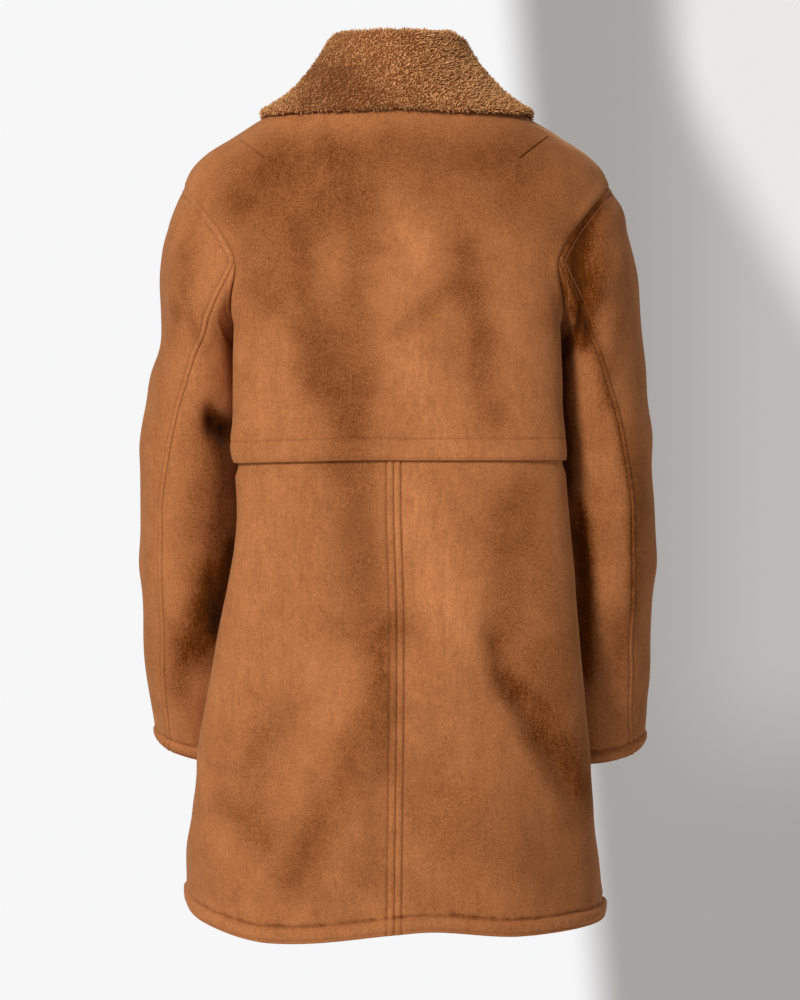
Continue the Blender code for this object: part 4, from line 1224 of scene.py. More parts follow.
def collarLine(along):
    # the under side of the collar at one place: up the stand, over the fold, down the fall
    base, lean, radius = collarAt(along, "baseAngle"), collarAt(along, "lean"), collarForm["foldRadius"]
    seam = torsoPoint(base, coat["neckDrop"]) + np.array([0, 0, 3 * coat["gap"]])
    around = torsoPoint(base + 2, coat["neckDrop"]) - torsoPoint(base - 2, coat["neckDrop"])
    outward, upward = unit(np.array([around[1], -around[0], 0.0])), np.array([0.0, 0.0, 1.0])
    place = collarAt(along, "edgeAngle"), collarAt(along, "edgeDrop")
    high = collarAt(along, "clear") + torsoFoldHeight(torsoPoint(*place))
    edge = torsoPoint(*place) + torsoNormal(*place) * high
    standTop = seam + upward * (collarAt(along, "stand") - radius) - outward * lean
    fallTop = standTop + outward * 2 * radius
    standSteps, foldSteps, fallSteps = collarForm["steps"]
    line = [seam + (standTop - seam) * t for t in np.linspace(0, 1, standSteps, endpoint=False)]
    for bend in np.radians(np.linspace(180, 0, foldSteps, endpoint=False)):
        line.append(standTop + (outward * (1 + math.cos(bend)) + upward * math.sin(bend)) * radius)
    fall = edge - fallTop
    away = unit(np.cross(fall, np.cross(upward, fall)))
    control = (fallTop + edge) / 2 + away * collarAt(along, "curve")
    even = np.linspace(0, 1, fallSteps + 1)
    for t in np.concatenate([even[:-1], [1 - 0.4 / fallSteps, 1 - 0.12 / fallSteps, 1]]):
        line.append(fallTop * (1 - t) ** 2 + control * 2 * t * (1 - t) + edge * t**2)
    return np.array(line)


halfPlaces = np.concatenate([np.linspace(0, 0.985, collarForm["halfColumns"]), [0.991, 0.9955, 0.9985, 1]])
half = [collarLine(along) for along in halfPlaces]
under = np.array([line * np.array([-1, 1, 1]) for line in half[:0:-1]] + half).transpose(1, 0, 2)
collarNormal = unit(np.cross(np.gradient(under, axis=0), np.gradient(under, axis=1)))
collarNormal *= -np.sign(collarNormal[0, under.shape[1] // 2, 1])
pileShare = np.clip((np.arange(len(under)) - collarForm["steps"][0]) / collarForm["steps"][1], 0, 1)
pileHigh = (collarForm["standPile"] + (collarForm["fallPile"] - collarForm["standPile"]) * pileShare)[:, None]
pileHigh = np.broadcast_to(pileHigh, under.shape[:2])
lower = under + collarNormal * (collarForm["under"] + coat["gap"] * 1.5)
for row, share in collarLook["overhangRows"]:
    lower[row] += unit(lower[-1] - lower[-4]) * collarForm["overhang"] * share

roundIn = roundedEdges(under, collarLook["underRound"])
underOuter = under + collarNormal * (collarForm["under"] - roundIn)[..., None]
# the collar's under side gets painted shade along its rounded edges
panels["collarUnder"] = addWall(
    "collar_under_cloth", under + collarNormal * roundIn[..., None], underOuter, [suede, suede],
    np.ones(under.shape[:2], bool),
    {"seamShadeAndHighlight": -roundIn / collarLook["underRound"], "napAndPaintedShade": napAndShadeAt(under)})

roundIn = roundedEdges(lower, collarLook["fleeceRound"])
lumps = sum(high * latticeNoise(lower, size, seed) for high, size, seed in collarLook["lumps"])
fleeceOuter = lower + collarNormal * (pileHigh - roundIn + lumps)[..., None]
# where the fleece is darker: pressed or combed darker towards the left end, painted shade along a faint
# crease, and darker along the top of the fold
collarMarks = [
    ((0.090, 0.020), (0.055, -0.035), 0.036, 0.42),
    # painted shade along a faint crease
    ((0.105, -0.004), (0.045, 0.000), 0.007, 0.14),
    ((0.035, 0.040), (-0.035, 0.042), 0.012, 0.10),
]
collarShade = np.zeros(under.shape[:2])
for start, end, width, dark in collarMarks:
    collarShade += dark * softLine(lower[..., 0], lower[..., 2], start, end, width) * (lower[..., 1] > 0)
panels["fleece"] = addWall(
    "collar_fleece_pile", fleeceOuter, lower + collarNormal * (collarLook["innerRound"] * roundIn)[..., None],
    [fleece, fleece],
    np.ones(under.shape[:2], bool), {"napAndPaintedShade": collarShade, "seamShadeAndHighlight": np.zeros(under.shape[:2])})
# curls stand on the outer face except at the neck seam, and thinly inside the free edge
outerCover, innerCover = np.ones(under.shape[:2]), np.zeros(under.shape[:2])
outerCover[0] = 0
innerCover[-3:] = collarLook["rimCover"]
setTone(panels["fleece"], "curlCover", np.stack([outerCover, innerCover]))
print("collar made")


# Curls of the fleece

curlLook = {
    "spacing": 0.00135,
    "density": 800000.0,
    "thread": 0.00064,
    "length": 0.0023,
    "bend": 0.0015,
    "lock": 190.0,
    "lockTurn": 4.2,
    "seed": 7,
    "middle": 0.62,
    "taper": (-0.7, 1.1),
    "steps": 3,
    "sides": 3,
    "tilt": (0.55, 0.55, 0.8),
    "sizes": (0.7, 1.3),
    "toneSeed": 3,
}


def turnedBy(tree, rotation, angles):
    # a rotation turned further by three angles of its own frame
    extra = addNode(tree, "FunctionNodeEulerToRotation", {0: angles})
    made = addNode(tree, "FunctionNodeRotateRotation", {0: rotation, 1: extra.outputs[0]},
                   rotation_space="LOCAL")
    return made.outputs[0]


def makeCurlTree(material):
    # short bent tufts, those close together leaning alike
    tree, given, out = newGroup("fleeceTuftTree", "GeometryNodeTree", [
        ("Geometry", "NodeSocketGeometry", None), ("Spacing", "NodeSocketFloat", curlLook["spacing"]),
        ("Density", "NodeSocketFloat", curlLook["density"]),
        ("Thread", "NodeSocketFloat", curlLook["thread"]),
        ("Length", "NodeSocketFloat", curlLook["length"]), ("Bend", "NodeSocketFloat", curlLook["bend"]),
        ("Lock", "NodeSocketFloat", curlLook["lock"]), ("Lock Turn", "NodeSocketFloat", curlLook["lockTurn"]),
        ("Seed", "NodeSocketInt", curlLook["seed"])], [("Geometry", "NodeSocketGeometry")])
    cover = addNode(tree, "GeometryNodeInputNamedAttribute", {"Name": "curlCover"}, data_type="FLOAT")
    spread = addNode(tree, "GeometryNodeDistributePointsOnFaces", {
        "Mesh": given["Geometry"], "Distance Min": given["Spacing"], "Density Max": given["Density"],
        "Density Factor": cover.outputs["Attribute"], "Seed": given["Seed"]}, distribute_method="POISSON")
    upTo = mathNode(tree, "MULTIPLY", given["Length"], curlLook["middle"])
    middle = addNode(tree, "ShaderNodeCombineXYZ", {"Z": upTo})
    tip = addNode(tree, "ShaderNodeCombineXYZ", {"X": given["Bend"], "Z": given["Length"]})
    bent = addNode(tree, "GeometryNodeCurveQuadraticBezier", {
        "Resolution": curlLook["steps"], "Start": (0, 0, 0), "Middle": middle.outputs[0],
        "End": tip.outputs[0]})
    along = addNode(tree, "GeometryNodeSplineParameter")
    withTip = addNode(tree, "GeometryNodeStoreNamedAttribute", {
        "Geometry": bent.outputs[0], "Name": "curlTip", "Value": along.outputs["Factor"]},
        data_type="FLOAT", domain="POINT")
    taper = mathNode(tree, "MULTIPLY_ADD", along.outputs["Factor"], *curlLook["taper"])
    profile = addNode(tree, "GeometryNodeCurvePrimitiveCircle", {
        "Resolution": curlLook["sides"], "Radius": given["Thread"]})
    tube = addNode(tree, "GeometryNodeCurveToMesh", {
        "Curve": withTip.outputs[0], "Profile Curve": profile.outputs[0], "Scale": taper, "Fill Caps": True})
    tilt = addNode(tree, "FunctionNodeRandomValue", {
        0: tuple(-most for most in curlLook["tilt"]), 1: curlLook["tilt"], "Seed": given["Seed"]},
        data_type="FLOAT_VECTOR")
    place = addNode(tree, "GeometryNodeInputPosition")
    lean = addNode(tree, "ShaderNodeTexNoise", {
        "Vector": place.outputs[0], "Scale": given["Lock"], "Detail": 1.0, "Roughness": 0.5})
    centred = vectorNode(tree, "SUBTRACT", {0: lean.outputs["Color"], 1: (0.5, 0.5, 0.5)})
    leaning = vectorNode(tree, "SCALE", {0: centred, "Scale": given["Lock Turn"]})
    both = vectorNode(tree, "ADD", {0: leaning, 1: tilt.outputs[0]})
    turned = turnedBy(tree, spread.outputs["Rotation"], both)
    small, large = curlLook["sizes"]
    size = addNode(tree, "FunctionNodeRandomValue", {2: small, 3: large, "Seed": given["Seed"]},
                   data_type="FLOAT")
    placed = addNode(tree, "GeometryNodeInstanceOnPoints", {
        "Points": spread.outputs["Points"], "Instance": tube.outputs[0], "Rotation": turned,
        "Scale": size.outputs[1]})
    toneSeed = addNode(tree, "FunctionNodeIntegerMath", {0: given["Seed"], 1: curlLook["toneSeed"]},
                       operation="ADD")
    tone = addNode(tree, "FunctionNodeRandomValue", {"Seed": toneSeed.outputs[0]}, data_type="FLOAT")
    toned = addNode(tree, "GeometryNodeStoreNamedAttribute", {
        "Geometry": placed.outputs[0], "Name": "curlTone", "Value": tone.outputs[1]},
        data_type="FLOAT", domain="INSTANCE")
    real = addNode(tree, "GeometryNodeRealizeInstances", {"Geometry": toned.outputs[0]})
    smooth = addNode(tree, "GeometryNodeSetShadeSmooth", {"Geometry": real.outputs[0]})
    last = addNode(tree, "GeometryNodeSetMaterial", {"Geometry": smooth.outputs[0], "Material": material})
    tree.links.new(last.outputs[0], out["Geometry"])
    return tree


def grown(name, base, tree, values, materials):
    # the tree's result on a base mesh, as a plain mesh of its own
    made = addObject(name + "Base", base.data.copy())
    made.modifiers.new("grow", "NODES").node_group = tree
    names = {item.name: item.identifier for item in tree.interface.items_tree if item.in_out == "INPUT"}
    for key, value in values.items():
        made.modifiers[0][names[key]] = value
    bpy.context.view_layer.update()
    evaluated = made.evaluated_get(bpy.context.evaluated_depsgraph_get())
    mesh = bpy.data.meshes.new_from_object(evaluated)
    bpy.data.objects.remove(made)
    mesh.name = name
    mesh.materials.clear()
    for each in materials:
        mesh.materials.append(each)
    return addObject(name, mesh)


def triangles(made):
    return sum(len(p.vertices) - 2 for p in made.data.polygons)


curlTree = makeCurlTree(curls)


def splitCover(made, name, keep):
    # a copy of the fleece's surface whose cover counts only where keep says
    copy = addObject(name, made.data.copy())
    points = np.empty(len(copy.data.vertices) * 3)
    copy.data.vertices.foreach_get("co", points)
    layer = copy.data.attributes["curlCover"].data
    cover = np.empty(len(copy.data.vertices), np.float32)
    layer.foreach_get("value", cover)
    layer.foreach_set("value", (cover * keep(points.reshape(-1, 3))).astype(np.float32))
    return copy


curlPieces = []
for number, (side, part) in enumerate(((1, 1), (-1, 1), (1, -1), (-1, -1))):
    title = ("left" if side > 0 else "right") + ("_back" if part > 0 else "_front")
    quarter = splitCover(panels["fleece"], title, lambda p: (p[:, 0] * side >= 0) & (p[:, 1] * part >= 0))
    made = grown(f"collar_curls_{title}", quarter, curlTree, {"Seed": curlLook["seed"] + number}, [curls])
    bpy.data.objects.remove(quarter)
    curlPieces.append(made)
    print(made.name, triangles(made), "triangles")


# Stitches

stitchLook = {
    "pitch": 0.0027,
    "length": 0.00088,
    "width": 0.00036,
    "height": 0.00030,
    "hole": 0.00062,
    "holeSides": 6,
    "holeLift": 0.00012,
    "beadSides": 5,
    "beadRings": 3,
    "beadTurn": 1.5708,
}
# how far each row of stitches runs from its edge
rowLevels = {
    "yoke": (0.0025, 0.0219),
    "centre": 0.0075,
    "hem": (0.0028, 0.0165),
    "fronts": 0.0072,
    "armhole": 0.0066,
    "sleeve": 0.0057,
}


def levelLine(shape, side, level, trim=(0, 0)):
    # a line on a finished panel at an even distance from one of its edges, with its normals
    outer, normal, away = shape["outer"], shape["normal"], shape["away"][side]
    if side in ("top", "bottom"):
        outer, normal, away = outer.transpose(1, 0, 2), normal.transpose(1, 0, 2), away.T
    if side in ("bottom", "end"):
        outer, normal, away = outer[:, ::-1], normal[:, ::-1], away[:, ::-1]
    points, ups = [], []
    for row in range(trim[0], len(outer) - trim[1]):
        cut = int(np.argmax(away[row] > level))
        if cut == 0:
            continue
        t = (level - away[row, cut - 1]) / (away[row, cut] - away[row, cut - 1])
        points.append(outer[row, cut - 1] * (1 - t) + outer[row, cut] * t)
        ups.append(normal[row, cut - 1] * (1 - t) + normal[row, cut] * t)
    return np.array(points), unit(np.array(ups))


def makeStitchTree(threadMaterial, holeMaterial):
    tree, given, out = newGroup("stitchTree", "GeometryNodeTree", [
        ("Geometry", "NodeSocketGeometry", None), ("Pitch", "NodeSocketFloat", stitchLook["pitch"]),
        ("Length", "NodeSocketFloat", stitchLook["length"]),
        ("Width", "NodeSocketFloat", stitchLook["width"]),
        ("Height", "NodeSocketFloat", stitchLook["height"]),
        ("Hole", "NodeSocketFloat", stitchLook["hole"]),
        ("Turn", "NodeSocketFloat", 0.0)], [("Geometry", "NodeSocketGeometry")])
    line = addNode(tree, "GeometryNodeMeshToCurve", {"Mesh": given["Geometry"]})
    even = addNode(tree, "GeometryNodeResampleCurve", {"Curve": line.outputs[0]}, mode="LENGTH")
    tree.links.new(given["Pitch"], even.inputs[3])
    upward = addNode(tree, "GeometryNodeInputNamedAttribute", {"Name": "faceUp"}, data_type="FLOAT_VECTOR")
    tangent = addNode(tree, "GeometryNodeInputTangent")
    first = addNode(tree, "FunctionNodeAlignRotationToVector", {"Vector": upward.outputs["Attribute"]},
                    axis="Z")
    both = addNode(tree, "FunctionNodeAlignRotationToVector", {
        "Rotation": first.outputs[0], "Vector": tangent.outputs[0]}, axis="X", pivot_axis="Z")
    spin = addNode(tree, "ShaderNodeCombineXYZ", {"Z": given["Turn"]})
    turned = turnedBy(tree, both.outputs[0], spin.outputs[0])
    bead = addNode(tree, "GeometryNodeMeshUVSphere", {
        "Segments": stitchLook["beadSides"], "Rings": stitchLook["beadRings"], "Radius": 1.0})
    size = addNode(tree, "ShaderNodeCombineXYZ", {
        "X": given["Length"], "Y": given["Width"], "Z": given["Height"]})
    shaped = addNode(tree, "GeometryNodeTransform", {
        "Geometry": bead.outputs[0], "Rotation": (0.0, stitchLook["beadTurn"], 0.0)})
    sized = addNode(tree, "GeometryNodeTransform", {"Geometry": shaped.outputs[0], "Scale": size.outputs[0]})
    placed = addNode(tree, "GeometryNodeInstanceOnPoints", {
        "Points": even.outputs[0], "Instance": sized.outputs[0], "Rotation": turned})
    stitched = addNode(tree, "GeometryNodeSetMaterial", {
        "Geometry": placed.outputs[0], "Material": threadMaterial})
    # a dark disc at each needle hole: painted shade for the hole
    hole = addNode(tree, "GeometryNodeMeshCircle", {
        "Vertices": stitchLook["holeSides"], "Radius": given["Hole"]}, fill_type="NGON")
    halfPitch = mathNode(tree, "MULTIPLY", given["Pitch"], 0.5)
    step = vectorNode(tree, "SCALE", {0: tangent.outputs[0], "Scale": halfPitch})
    lift = vectorNode(tree, "SCALE", {0: upward.outputs["Attribute"], "Scale": stitchLook["holeLift"]})
    moved = addNode(tree, "GeometryNodeSetPosition", {
        "Geometry": even.outputs[0], "Offset": vectorNode(tree, "ADD", {0: step, 1: lift})})
    holes = addNode(tree, "GeometryNodeInstanceOnPoints", {
        "Points": moved.outputs[0], "Instance": hole.outputs[0], "Rotation": both.outputs[0]})
    holed = addNode(tree, "GeometryNodeSetMaterial", {"Geometry": holes.outputs[0], "Material": holeMaterial})
    joined = addNode(tree, "GeometryNodeJoinGeometry")
    tree.links.new(stitched.outputs[0], joined.inputs[0])
    tree.links.new(holed.outputs[0], joined.inputs[0])
    real = addNode(tree, "GeometryNodeRealizeInstances", {"Geometry": joined.outputs[0]})
    smooth = addNode(tree, "GeometryNodeSetShadeSmooth", {"Geometry": real.outputs[0]})
    last = addNode(tree, "GeometryNodeSetMaterial", {
        "Geometry": smooth.outputs[0], "Selection": False, "Material": threadMaterial})
    tree.links.new(last.outputs[0], out["Geometry"])
    return tree


stitchTree = makeStitchTree(thread, needleHoleShade)


def sew(name, lines, sink=0.00005, **values):
    points, ups, edges = [], [], []
    for line, up in lines:
        first = sum(len(p) for p in points)
        points.append(line - up * sink)
        ups.append(up)
        edges += [(first + k, first + k + 1) for k in range(len(line) - 1)]
    mesh = bpy.data.meshes.new(name + "Line")
    mesh.from_pydata(np.concatenate(points).tolist(), edges, [])
    layer = mesh.attributes.new("faceUp", "FLOAT_VECTOR", "POINT")
    layer.data.foreach_set("vector", np.concatenate(ups).ravel().astype(np.float32))
    base = bpy.data.objects.new(name + "Line", mesh)
    made = grown(name, base, stitchTree, values, [thread, needleHoleShade])
    bpy.data.objects.remove(base)
    print(name, triangles(made), "triangles")
    return made


stitches = {
    "yoke": sew("yoke_stitches", [levelLine(shapes["yoke"], "bottom", level) for level in rowLevels["yoke"]]),
    "centre": sew("centre_back_stitches", [
        levelLine(shapes[each], "start", rowLevels["centre"], trim=(5, 3))
        for each in ("lowerLeft", "lowerRight")]),
    "hem": sew("hem_stitches", [
        levelLine(shapes[each], "bottom", level)
        for each in ("lowerLeft", "lowerRight", "leftFront", "rightFront") for level in rowLevels["hem"]]),
    "fronts": sew("front_stitches", [
        levelLine(shapes[each + "Front"], "end", rowLevels["fronts"], trim=(4, 2))
        for each in ("left", "right")]),
}
for sideName in ("left", "right"):
    stitches[sideName] = sew(f"sleeve_{sideName}_stitches", [
        levelLine(shapes[sideName + "Upper"], "top", rowLevels["armhole"]),
        levelLine(shapes[sideName + "Under"], "top", rowLevels["armhole"]),
        levelLine(shapes[sideName + "Upper"], "end", rowLevels["sleeve"], trim=(8, 3))] + [
        levelLine(shapes[sideName + part], "bottom", level * cuffScale)
        for part in ("Upper", "Under") for level in rowLevels["hem"]])


# Buttons

buttonLook = {
    "drops": (0.185, 0.325, 0.465, 0.605),
    "radius": 0.0125,
    "thickness": 0.0042,
    "profile": [
        (0.0, 0.62), (0.30, 0.60), (0.52, 0.56), (0.66, 0.62), (0.74, 0.92), (0.80, 1.0), (0.88, 0.98),
        (0.95, 0.84), (1.0, 0.55), (0.985, 0.25), (0.92, 0.04), (0.80, 0.0), (0.0, 0.0)],
    "around": 40,
    "holeSpread": 0.0026,
    "holeRadius": 0.0009,
    "holeSides": 12,
    "holeFrom": -0.001,
    "holeTo": 1.3,  # of the thickness
    "clear": 0.0002,
    "sharpFrom": 40,
    "threadSeat": 0.66,  # of the thickness
    "threadArch": 0.0007,
    "threadSunk": 0.0004,
    "threadReach": 1.15,
    "threadPoints": 9,
}
buttonholeLook = {"levels": (-0.0011, 0.0011), "from": 0.0128, "to": 0.0235, "points": 12}


def makeButton(number, drop):
    bare = torsoPoint(-90.0, drop)
    normal = torsoNormal(-90.0, drop)
    lift = float(frontHeight(bare, drop)) + 2 * coat["gap"] + buttonLook["clear"]
    seat = bare + normal * lift
    across = unit(np.cross([0.0, 0.0, 1.0], normal))
    upward = np.cross(normal, across)
    turns = np.linspace(0, 2 * math.pi, buttonLook["around"], endpoint=False)
    ring = np.cos(turns)[:, None] * across + np.sin(turns)[:, None] * upward
    count, profile = len(turns), buttonLook["profile"]
    points = [seat + normal * profile[0][1] * buttonLook["thickness"]]
    for share, high in profile[1:-1]:
        points += list(seat + normal * high * buttonLook["thickness"] + ring * share * buttonLook["radius"])
    points.append(seat)
    faces, last = [], 1 + count * (len(profile) - 2)
    for k in range(count):
        after = (k + 1) % count
        faces.append((0, 1 + k, 1 + after))
        faces.append((last, last - count + after, last - count + k))
        for ringNumber in range(len(profile) - 3):
            a = 1 + ringNumber * count
            faces.append((a + k, a + count + k, a + count + after, a + after))
    mesh = bpy.data.meshes.new(f"button_{number}_turned")
    mesh.from_pydata([tuple(p) for p in points], [], faces)
    mesh.shade_smooth()
    mesh.set_sharp_from_angle(angle=math.radians(buttonLook["sharpFrom"]))
    mesh.materials.append(horn)
    mesh.materials.append(needleHoleShade)
    made = addObject(f"button_{number}_turned", mesh)
    sides = buttonLook["holeSides"]
    holePoints, holeFaces = [], []
    for a, b in ((-1, -1), (1, -1), (-1, 1), (1, 1)):
        middle = seat + (across * a + upward * b) * buttonLook["holeSpread"] / 2
        first = len(holePoints)
        for high in (buttonLook["holeFrom"], buttonLook["thickness"] * buttonLook["holeTo"]):
            for t in np.linspace(0, 2 * math.pi, sides, endpoint=False):
                spoke = across * math.cos(t) + upward * math.sin(t)
                holePoints.append(middle + normal * high + spoke * buttonLook["holeRadius"])
        holeFaces.append(tuple(range(first + sides - 1, first - 1, -1)))
        holeFaces.append(tuple(range(first + sides, first + 2 * sides)))
        for k in range(sides):
            after = (k + 1) % sides
            holeFaces.append((first + k, first + after, first + sides + after, first + sides + k))
    holes = bpy.data.meshes.new("holes")
    holes.from_pydata([tuple(p) for p in holePoints], [], holeFaces)
    holes.materials.append(needleHoleShade)
    tool = addObject("holes", holes)
    cut = made.modifiers.new("holes", "BOOLEAN")
    cut.operation, cut.object, cut.solver = "DIFFERENCE", tool, "EXACT"
    bpy.context.view_layer.update()
    drilled = bpy.data.meshes.new_from_object(made.evaluated_get(bpy.context.evaluated_depsgraph_get()))
    made.modifiers.clear()
    made.data = drilled
    bpy.data.objects.remove(tool)
    top = seat + normal * buttonLook["thickness"] * buttonLook["threadSeat"]
    reach, far, threadLines = upward * buttonLook["holeSpread"] / 2, buttonLook["threadReach"], []
    for sideways in (-1, 1):
        offset = across * sideways * buttonLook["holeSpread"] / 2
        line = []
        for t in np.linspace(-far, far, buttonLook["threadPoints"]):
            high = buttonLook["threadArch"] * (1 - t * t) - buttonLook["threadSunk"]
            line.append(top + offset + reach * t + normal * high)
        threadLines.append((np.array(line), np.repeat(normal[None], len(line), axis=0)))
    return made, threadLines


buttons, buttonThreads = [], []
for number, drop in enumerate(buttonLook["drops"], start=1):
    made, lines = makeButton(number, drop)
    buttons.append(made)
    buttonThreads += lines
sewing = sew("button_threads", buttonThreads, Pitch=0.0004, Length=0.0006, Width=0.00042, Height=0.00042,
             Hole=0.00001)

slots = []
for drop in buttonLook["drops"]:
    for level in buttonholeLook["levels"]:
        xs = np.linspace(buttonholeLook["from"], buttonholeLook["to"], buttonholeLook["points"])
        trial = np.linspace(-110, -60, 201)
        at = torsoPoint(trial, drop + level)
        angle = np.interp(xs, at[:, 0], trial)
        bare = torsoPoint(angle, drop + level)
        up = torsoNormal(angle, drop + level)
        slots.append((bare + up * frontHeight(bare, drop + level)[:, None], up))
holeStitches = sew("buttonhole_stitches", slots, Pitch=0.00055, Length=0.0011, Width=0.00032, Height=0.00034,
                   Hole=0.00001, Turn=math.pi / 2)
print("buttons made")


# What each piece is

# node, the piece that stands for it, width and length of its cut, its flat area, how it is held, on what
cuts = [
    ("back_yoke", "yoke", (0.52, 0.40), 0.183, "hung", ["wearer"]),
    ("back_lower_left", "lowerLeft", (0.32, 0.49), 0.147, "hung", ["back_yoke_cloth"]),
    ("back_lower_right", "lowerRight", (0.32, 0.49), 0.147, "hung", ["back_yoke_cloth"]),
    ("front_left", "leftFront", (0.36, 0.86), 0.255, "hung", ["wearer"]),
    ("front_right", "rightFront", (0.36, 0.86), 0.255, "hung", ["wearer"]),
    ("sleeve_left_upper", "leftUpper", (0.27, 0.60), 0.110, "hung",
     ["back_yoke_cloth", "front_left_cloth"]),
    ("sleeve_left_under", "leftUnder", (0.20, 0.50), 0.075, "hung",
     ["back_yoke_cloth", "front_left_cloth"]),
    ("sleeve_right_upper", "rightUpper", (0.27, 0.60), 0.110, "hung",
     ["back_yoke_cloth", "front_right_cloth"]),
    ("sleeve_right_under", "rightUnder", (0.20, 0.50), 0.075, "hung",
     ["back_yoke_cloth", "front_right_cloth"]),
    ("collar_under", "collarUnder", (0.56, 0.16), 0.073, "folded", ["wearer"]),
    ("collar_fleece", "fleece", (0.60, 0.17), 0.082, "folded", ["collar_under_cloth"]),
]
print("panels", sum(triangles(each) for each in panels.values()), "triangles")
for node, key, flat, area, held, restsOn in cuts:
    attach(panels[key], "root")
    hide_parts(node)
for number, made in enumerate(buttons, start=1):
    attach(made, "root")
    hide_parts(f"button_{number}")
for made in [*stitches.values(), sewing, holeStitches, *curlPieces]:
    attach(made, "root")


# Camera, light and backdrop

studio = {
    "cameraAway": 3.3,
    "cameraHeight": -0.3605,
    "lens": 115.35,
    "shift": (0.003, -0.070),
    "floor": -1.47,
    "wall": -1.30,
    "white": (0.93, 0.93, 0.94, 1.0),
    "greyNear": shade(166, 162, 159),
    "greyFar": shade(188, 184, 181),
    "greyLow": shade(166, 162, 159),
    "bright": shade(234, 232, 231),
    "worldStrength": 0.20,
    # the grey band, a painted shadow on the backdrop: its slanting edge, and where its tones change across
    # and down
    "bandSlant": -0.085,
    "bandEdge": (-0.150, -0.232),
    "greyAcross": (-0.30, -0.56),
    "greyDown": (-0.66, -0.95),
    # the bright part's slanting edge, painted light on the backdrop: per metre up, its offset, per metre
    # across
    "brightEdge": (0.504, -0.421, -0.864),
    "brightSoft": (-0.06, 0.05),
    "brightAcross": (-0.35, -0.45),
    "wallHalf": 3,
    "wallTop": 2.5,
    "floorHalf": 4,
    "floorColour": (0.84, 0.84, 0.84, 1),
    "floorRoughness": 0.9,
}
lamps = [
    # name, place, aim, size, watts
    ("keyLight", (2.1, 3.5, 1.7), (0, 0, -0.4), 1.1, 182.0),
    ("fillLight", (-2.2, 2.6, 0.4), (0, 0, -0.4), 2.2, 5.0),
    ("frontLight", (0.8, -2.8, 1.3), (0, 0, -0.4), 2.0, 50.0),
]

camera = addObject("camera", bpy.data.cameras.new("camera"))
camera.location = (0, studio["cameraAway"], studio["cameraHeight"])
camera.rotation_euler = (math.radians(90), 0, math.radians(180))
camera.data.lens, camera.data.sensor_width = studio["lens"], 36
camera.data.shift_x, camera.data.shift_y = studio["shift"]
bpy.context.scene.camera = camera

for name, place, aim, size, watts in lamps:
    lamp = bpy.data.lights.new(name, "AREA")
    lamp.shape, lamp.size, lamp.energy = "DISK", size, watts
    made = addObject(name, lamp)
    made.location = place
    away = np.array(aim) - np.array(place)
    tilted = math.atan2(math.hypot(away[0], away[1]), -away[2])
    made.rotation_euler = (tilted, 0, math.atan2(away[0], -away[1]) + math.pi)


def clearFromBehind(tree, shown):
    # so that the camera can look through it from the other side
    clear = addNode(tree, "ShaderNodeBsdfTransparent")
    facing = addNode(tree, "ShaderNodeNewGeometry").outputs["Backfacing"]
    return addNode(tree, "ShaderNodeMixShader", {0: facing, 1: shown, 2: clear.outputs[0]}).outputs[0]


world = bpy.data.worlds.new("studioAir")
world.use_nodes = True
bpy.context.scene.world = world
tree = world.node_tree
tree.nodes.clear()
plainAir = addNode(tree, "ShaderNodeBackground", {"Color": (1, 1, 1, 1), "Strength": studio["worldStrength"]})
shownAir = addNode(tree, "ShaderNodeBackground", {"Color": studio["white"], "Strength": 1.0})
path = addNode(tree, "ShaderNodeLightPath")
seen = mathNode(tree, "MAXIMUM", path.outputs["Is Camera Ray"], path.outputs["Is Glossy Ray"])
mixed = addNode(tree, "ShaderNodeMixShader", {0: seen, 1: plainAir.outputs[0], 2: shownAir.outputs[0]})
addNode(tree, "ShaderNodeOutputWorld", {"Surface": mixed.outputs[0]})

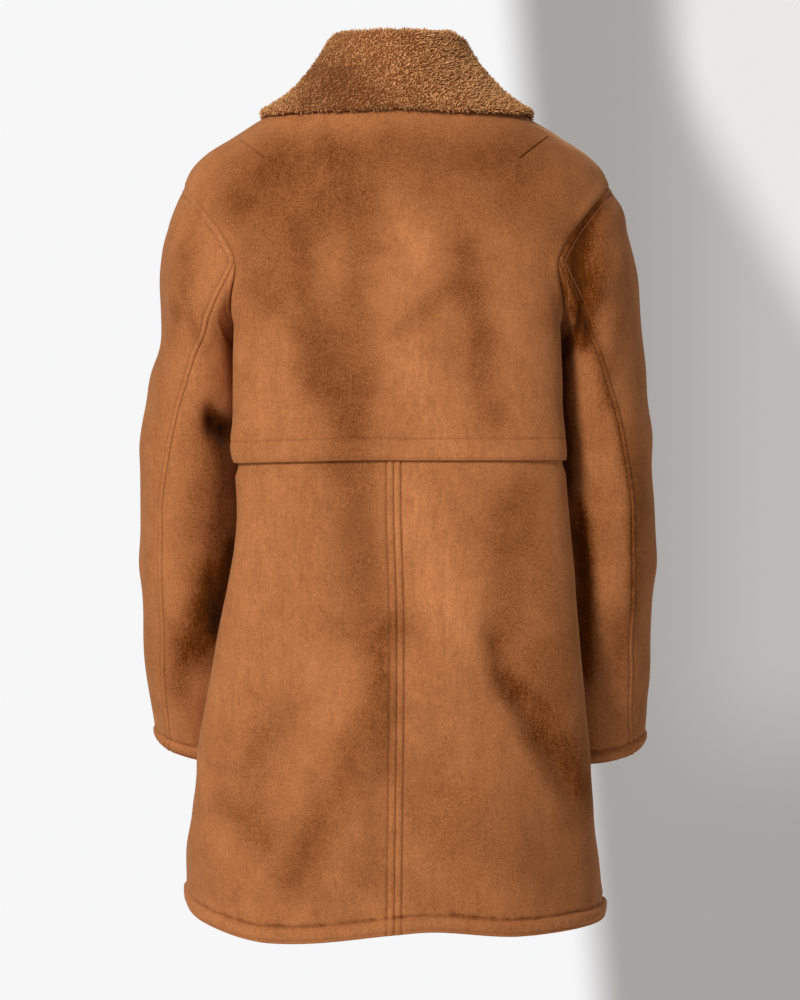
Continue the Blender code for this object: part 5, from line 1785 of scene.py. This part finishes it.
wallMaterial = bpy.data.materials.new("backdropPaper")
wallMaterial.use_nodes = True
tree = wallMaterial.node_tree
tree.nodes.clear()
place = addNode(tree, "ShaderNodeTexCoord").outputs["Object"]
split = addNode(tree, "ShaderNodeSeparateXYZ", {0: place})
across, upwards = split.outputs["X"], split.outputs["Z"]
slant = mathNode(tree, "MULTIPLY_ADD", upwards, studio["bandSlant"], across)
# painted shadow: a grey band across the backdrop
grey = mixColours(
    tree, softStep(tree, across, *studio["greyAcross"]), studio["greyNear"], studio["greyFar"])
grey = mixColours(tree, softStep(tree, upwards, *studio["greyDown"]), grey, studio["greyLow"])
# painted light: a bright part at the upper right, past a slanting edge
perUp, offset, perAcross = studio["brightEdge"]
past = mathNode(tree, "MULTIPLY_ADD", upwards, perUp, offset)
past = mathNode(tree, "MULTIPLY_ADD", across, perAcross, past)
high = mathNode(tree, "MULTIPLY", softStep(tree, across, *studio["brightAcross"]),
                softStep(tree, past, *studio["brightSoft"]))
grey = mixColours(tree, high, grey, studio["bright"])
tone = mixColours(tree, softStep(tree, slant, *studio["bandEdge"]), studio["white"], grey)
# to the camera the backdrop glows with its painted shadow and light; to other rays it is plain grey cloth
glow = addNode(tree, "ShaderNodeEmission", {"Color": tone, "Strength": 1.0})
cloth = addNode(tree, "ShaderNodeBsdfDiffuse", {"Color": (0.8, 0.8, 0.8, 1)})
path = addNode(tree, "ShaderNodeLightPath")
front = addNode(tree, "ShaderNodeMixShader", {
    0: path.outputs["Is Camera Ray"], 1: cloth.outputs[0], 2: glow.outputs[0]})
addNode(tree, "ShaderNodeOutputMaterial", {"Surface": clearFromBehind(tree, front.outputs[0])})

floorMaterial = bpy.data.materials.new("floorPaper")
floorMaterial.use_nodes = True
tree = floorMaterial.node_tree
shader = tree.nodes["Principled BSDF"]
shader.inputs["Base Color"].default_value = studio["floorColour"]
shader.inputs["Roughness"].default_value = studio["floorRoughness"]
tree.links.new(clearFromBehind(tree, shader.outputs[0]), tree.nodes["Material Output"].inputs["Surface"])

wallHalf, floorHalf, low = studio["wallHalf"], studio["floorHalf"], studio["floor"]
wall = addMesh("wall", [
    (x, studio["wall"], z) for x, z in (
        (-wallHalf, low), (-wallHalf, studio["wallTop"]), (wallHalf, studio["wallTop"]), (wallHalf, low))],
    [(0, 1, 2, 3)], [wallMaterial])
floor = addMesh("floor", [
    (x * floorHalf, y * floorHalf, low) for x, y in ((-1, -1), (1, -1), (1, 1), (-1, 1))],
    [(0, 1, 2, 3)], [floorMaterial])
bpy.context.scene.view_settings.view_transform = "Standard"
print("studio made")
